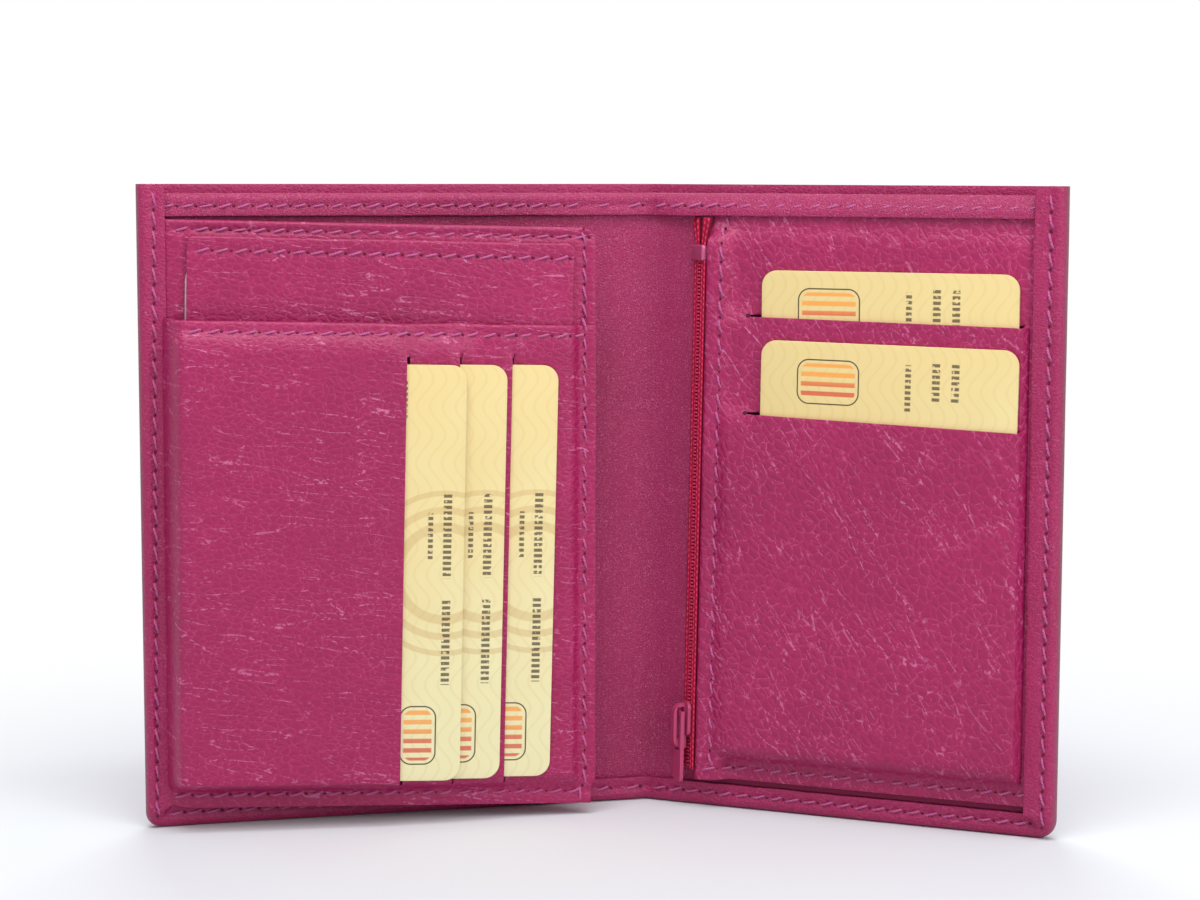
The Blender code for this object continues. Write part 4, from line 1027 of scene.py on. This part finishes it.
def panelLift(x, z):
    # above a slit the leather lies behind the card, and below it in front
    size = panelSizes
    slitLeft, slitRight = size["slitEnds"]
    uncut = max(falling(x, slitLeft, size["flatLeft"]), smooth(x, size["flatRight"], size["slopeEnd"]))
    lift = size["base"] + layersAt(z, size["slits"], uncut) * size["step"]
    lift += wobble((x, z, 0), 15, 7) * 0.2 + wobble((x + z, (x - z) * 0.35, 0), 5, 8) * 0.06
    rolled = falling(x, *size["rolled"])  # the left edge is turned over and thicker
    lift = mix(lift, size["edge"] + wobble((x, z, 1), 20, 2) * 0.12, rolled)
    below = falling(z, *size["below"]) * (1 - rolled)  # under the cards
    lift = mix(lift, size["hem"], max(smooth(x, slitRight, size["rampEnd"]), below))
    lift = mix(lift, size["band"], smooth(z, *size["underBand"]))
    return lift - max(groove(x - sideSeam(z), z), groove(z - size["footSeam"], x))


def slantAt(x, z):
    # how far the slits' slant lowers a place on the panel
    share = sum(math.tan(math.radians(tilt)) * (1 - ramp(abs(z - at), 0, panelSizes["slitGap"]))
                for at, tilt in panelSizes["slits"].items())
    return share * (x - panelSizes["middle"])


def panelPoint(x, z, lift=None):
    size = panelSizes
    near = falling(x, size["leftTop"], size["slitEnds"][0])
    lean = (size["leftFoot"] - size["leftTop"]) * (size["top"] - z) / (size["top"] - size["foot"])
    return rightWing.at(x + lean * near, panelLift(x, z) if lift is None else lift, z - slantAt(x, z))


def makePanel():
    size = panelSizes
    radius, turns = size["roll"], size["turns"]
    left = size["leftTop"] + radius
    rows = steps(size["foot"], size["top"], 1.2, besideSlits(size["slits"]) + besideSeam(size["footSeam"]))
    columns = [k - turns for k in range(turns)] + steps(left, size["right"], 1.2, besideSeam(17.9) + [
        size["slitEnds"][0], size["flatLeft"], size["flatRight"], size["slitEnds"][1], size["rampEnd"]])

    def place(x, z):
        if x > 0:
            return panelPoint(x, z)
        a = math.pi * -x / turns  # the left edge is turned round
        point = panelPoint(left, z, panelLift(left, z) - radius + radius * math.cos(a))
        return point - rightWing.matrix.to_3x3() @ Vector((radius * math.sin(a) * mm, 0, 0))

    piece = sheet("card_panel_leather", panelLeather, columns, rows, place, size["leather"],
                  lambda x, z: inSlit(z, x, size), edge=0.12)
    standsFor(piece, "right_wing", ["card_panel"])
    for name, node, box, back, front, edge in panelCloths:
        piece = slab(name, lining, rightWing, roundedBox(*box), back, front, edge)
        standsFor(piece, "right_wing", [node])
    for points in ([(sideSeam(z), z) for z in steps(*size["sideRun"], 2)],
                   [(x, size["footSeam"]) for x in steps(*size["footRun"], 1.5)]):
        seam("right_wing", [panelPoint(x, z) for x, z in points], rightWing.facing())


# zip: two woven tapes, a coil between them, clip, slider and pull
zipSizes = {
    "foot": 8.3, "top": 124.8, "inner": 0.42, "outer": 2.75, "face": 0.25, "leather": 0.5, "cord": 0.3,
    "fan": 1.3, "fanIn": 0.4, "fanFoot": 119.4, "clip": (-2.75, 115.9, 2.75, 119.2, 0.5), "clipLifts": (-0.45, 1.2),
    "coil": {"Pitch": 0.75, "Width": 0.95, "Height": 0.55, "Depth": 0.8},
    "coilX": 0.2, "coilLift": 0.38, "coilFoot": 8.9, "coilTop": 115.7,
}


def coilTree():
    # one half turn of the coil at every pitch
    nodes, given, even, facing = emptyTree("zip_coil", dict.fromkeys(zipSizes["coil"], "Float"))
    ball = nodes.add("GeometryNodeMeshUVSphere", {"Segments": 8, "Rings": 5, "Radius": 0.5})
    soft = nodes.add("GeometryNodeSetShadeSmooth", {0: ball})
    turn = nodes.add("FunctionNodeAxesToRotation", {"Primary Axis": facing, "Secondary Axis": (0, 0, 1)})
    size = nodes.add("ShaderNodeCombineXYZ", {"X": given["Height"], "Y": given["Width"], "Z": given["Depth"]})
    laid = nodes.add("GeometryNodeInstanceOnPoints",
                     {"Points": even, "Instance": soft, "Rotation": turn, "Scale": size})
    whole = nodes.add("GeometryNodeRealizeInstances", {0: laid})
    nodes.add("NodeGroupOutput", {0: nodes.add("GeometryNodeSetMaterial", {0: whole, "Material": zipTooth})})
    return nodes.tree


def makeZip():
    size, coil, tree = zipSizes, zipSizes["coil"], coilTree()
    ends = ((1, "front"), (-1, "back"))
    for side, end in ends:

        def place(s, z, side=side):
            s = abs(s)
            fan = size["fan"] * smooth(z, size["fanFoot"], size["top"])
            x = mix(size["inner"], size["outer"] + fan, s) + fan * size["fanIn"]
            return zipLine.at(side * x, size["face"] + size["cord"] * abs(math.sin(2 * math.pi * s)), z)

        columns = [k / 12 for k in range(13)][::side]
        piece = sheet(f"zip_tape_{end}_woven", zipTape, columns, steps(size["foot"], size["top"], 1.2), place,
                      size["leather"], edge=0.1, mapName="weave")
        standsFor(piece, "right_wing", ["zip_tape_" + end])
    for order, (side, end) in enumerate(ends):
        foot = size["coilFoot"] + order * coil["Pitch"]
        points = [zipLine.at(side * size["coilX"], size["coilLift"], z) for z in (foot, size["coilTop"])]
        piece = grow("zip_coil_" + end, tree, [(points, zipLine.facing())],
                     {key: value * mm for key, value in coil.items()})
        standsFor(piece, "right_wing", ["zip_teeth_" + end])
    piece = slab("zip_clip_metal", clipMetal, zipLine, roundedBox(*size["clip"]), *size["clipLifts"], 0.35)
    standsFor(piece, "right_wing", ["zip_end_clip"])
    for name in ("zip_slider", "zip_slider_back", "zip_pull"):
        materials = frame["nodes"][name].data.materials
        materials.clear()
        materials.append(paintedZip)


# small punched holes at the ends of the card slits, drawn as dark discs: painted shade in the holes
punch = {"radius": 0.45, "proud": 0.16, "deep": 0.3, "sides": 14, "flapOut": 0.35, "panelOut": 0.1}


def punchHoles(name, body, panel, spots):
    form, count = bmesh.new(), punch["sides"]
    ring = [(punch["radius"] * math.cos(a), punch["radius"] * math.sin(a))
            for a in (2 * math.pi * k / count for k in range(count))]
    for x, lift, z in spots:
        front, back = ([form.verts.new(panel.at(x + dx, lift + high, z + dz)) for dx, dz in ring]
                       for high in (punch["proud"], -punch["deep"]))
        form.faces.new(front)
        form.faces.new(back[::-1])
        for k in range(count):
            form.faces.new((front[k - 1], back[k - 1], back[k], front[k]))
    bmesh.ops.recalc_face_normals(form, faces=form.faces)
    standsFor(bake(meshObject(name, form, holeShade)), body)


def makeHoles():
    high = flapSizes["slitEnds"][1] + punch["flapOut"]
    punchHoles("slit_holes_flap", "card_flap", flap,
               [(u, flapLift(u + 0.3, high), high) for u in flapSizes["slits"]])
    x = panelSizes["slitEnds"][0] - punch["panelOut"]
    punchHoles("slit_holes_panel", "right_wing", rightWing,
               [(x, panelLift(x, z - 0.1), z - slantAt(x, z)) for z in panelSizes["slits"]])


makeFlap()
sewFlap()
makeSleeve()
print("flap and sleeve made")
for place in cardPlaces:
    makeCard(*place)
print("cards made")
makePanel()
makeHoles()
makeZip()
print("panel and zip made")
sewSeams()

# stage, light and camera
studio = {
    "roomLight": 0.55, "floor": 4000, "floorTone": (0.645, 0.675, 0.72, 1), "cloud": 900.0,
    "clearFrom": 95, "clearTo": 240,
    "lamps": (  # name, place, aim, size, watts
        ("top_softbox", (-20, -330, 600), (0, 0, 60), (520, 300), 1.95),
        ("top_strip", (30, -110, 430), (0, 20, 110), (420, 50), 0.45),
        ("side_softbox", (430, -420, 330), (20, 0, 70), (260, 380), 1.12),
        ("back_softbox", (-60, 520, 430), (0, 0, 60), (420, 300), 2.1),
    ),
}
cameraPlace = {"at": (12.6, -542.9, 136.2), "yaw": -1.34, "pitch": 6.2, "roll": 0.126,
               "focalPixels": 2653, "pictureWidth": 1200, "sensor": 36.0}


def makeStage():
    scene = bpy.context.scene
    scene.view_settings.view_transform = "Standard"
    scene.world = bpy.data.worlds.new("studio")
    scene.world.use_nodes = True
    room = Nodes(scene.world.node_tree)
    strength = room.add("ShaderNodeMapRange", {"Value": room.seenBy("Camera", "Transmission", "Glossy"),
                                               "To Min": studio["roomLight"], "To Max": 1.0})
    room.fill(room.tree.nodes["Background"], {"Strength": strength, "Color": white})

    # far from the wallet the floor turns into the white backdrop, for the camera and for reflections
    shade = Shade("floor_white")
    cloud = shade.noise(shade.place(), studio["cloud"])
    tone = shade.colours(cloud, studio["floorTone"], mixColour(studio["floorTone"], white, 0.3))
    shade.finish(tone, 0.9, more={"Specular IOR Level": 0.0})
    away = shade.value(shade.add("ShaderNodeVectorMath", {0: shade.place()}, operation="LENGTH"), "Value")
    share = shade.seenBy("Camera", "Glossy") * away.over(studio["clearFrom"], studio["clearTo"])
    glow = shade.add("ShaderNodeEmission", {"Strength": 1.0})
    both = shade.add("ShaderNodeMixShader", {0: share, 1: shade.surface, 2: glow})
    shade.fill(shade.tree.nodes["Material Output"], {"Surface": both})
    a, form = studio["floor"] * mm / 2, bmesh.new()
    form.faces.new([form.verts.new((x, y, 0)) for x, y in ((-a, -a), (a, -a), (a, a), (-a, a))])
    meshObject("floor", form, shade.material)

    for name, place, aim, size, watts in studio["lamps"]:
        data = bpy.data.lights.new(name, "AREA")
        data.shape, data.energy = "RECTANGLE", watts
        data.size, data.size_y = (side * mm for side in size)
        light = linked(name, data)
        light.location = Vector(place) * mm
        light.rotation_euler = (Vector(aim) - Vector(place)).to_track_quat("-Z", "Y").to_euler()


def placeCamera():
    place = cameraPlace
    yaw, pitch, roll = (math.radians(place[key]) for key in ("yaw", "pitch", "roll"))
    ahead = Vector((math.sin(yaw) * math.cos(pitch), math.cos(yaw) * math.cos(pitch), -math.sin(pitch)))
    right = Vector((math.cos(yaw), -math.sin(yaw), 0))
    up = right.cross(ahead)
    across, upright = right * math.cos(roll) + up * math.sin(roll), up * math.cos(roll) - right * math.sin(roll)
    data = bpy.data.cameras.new("camera")
    data.sensor_width, data.clip_start = place["sensor"], 10 * mm
    data.lens = place["focalPixels"] / place["pictureWidth"] * place["sensor"]
    camera = linked("camera", data)
    axes = Matrix((across, upright, -ahead)).transposed().to_4x4()
    camera.matrix_world = Matrix.Translation(Vector(place["at"]) * mm) @ axes
    bpy.context.scene.camera = camera


makeStage()
placeCamera()
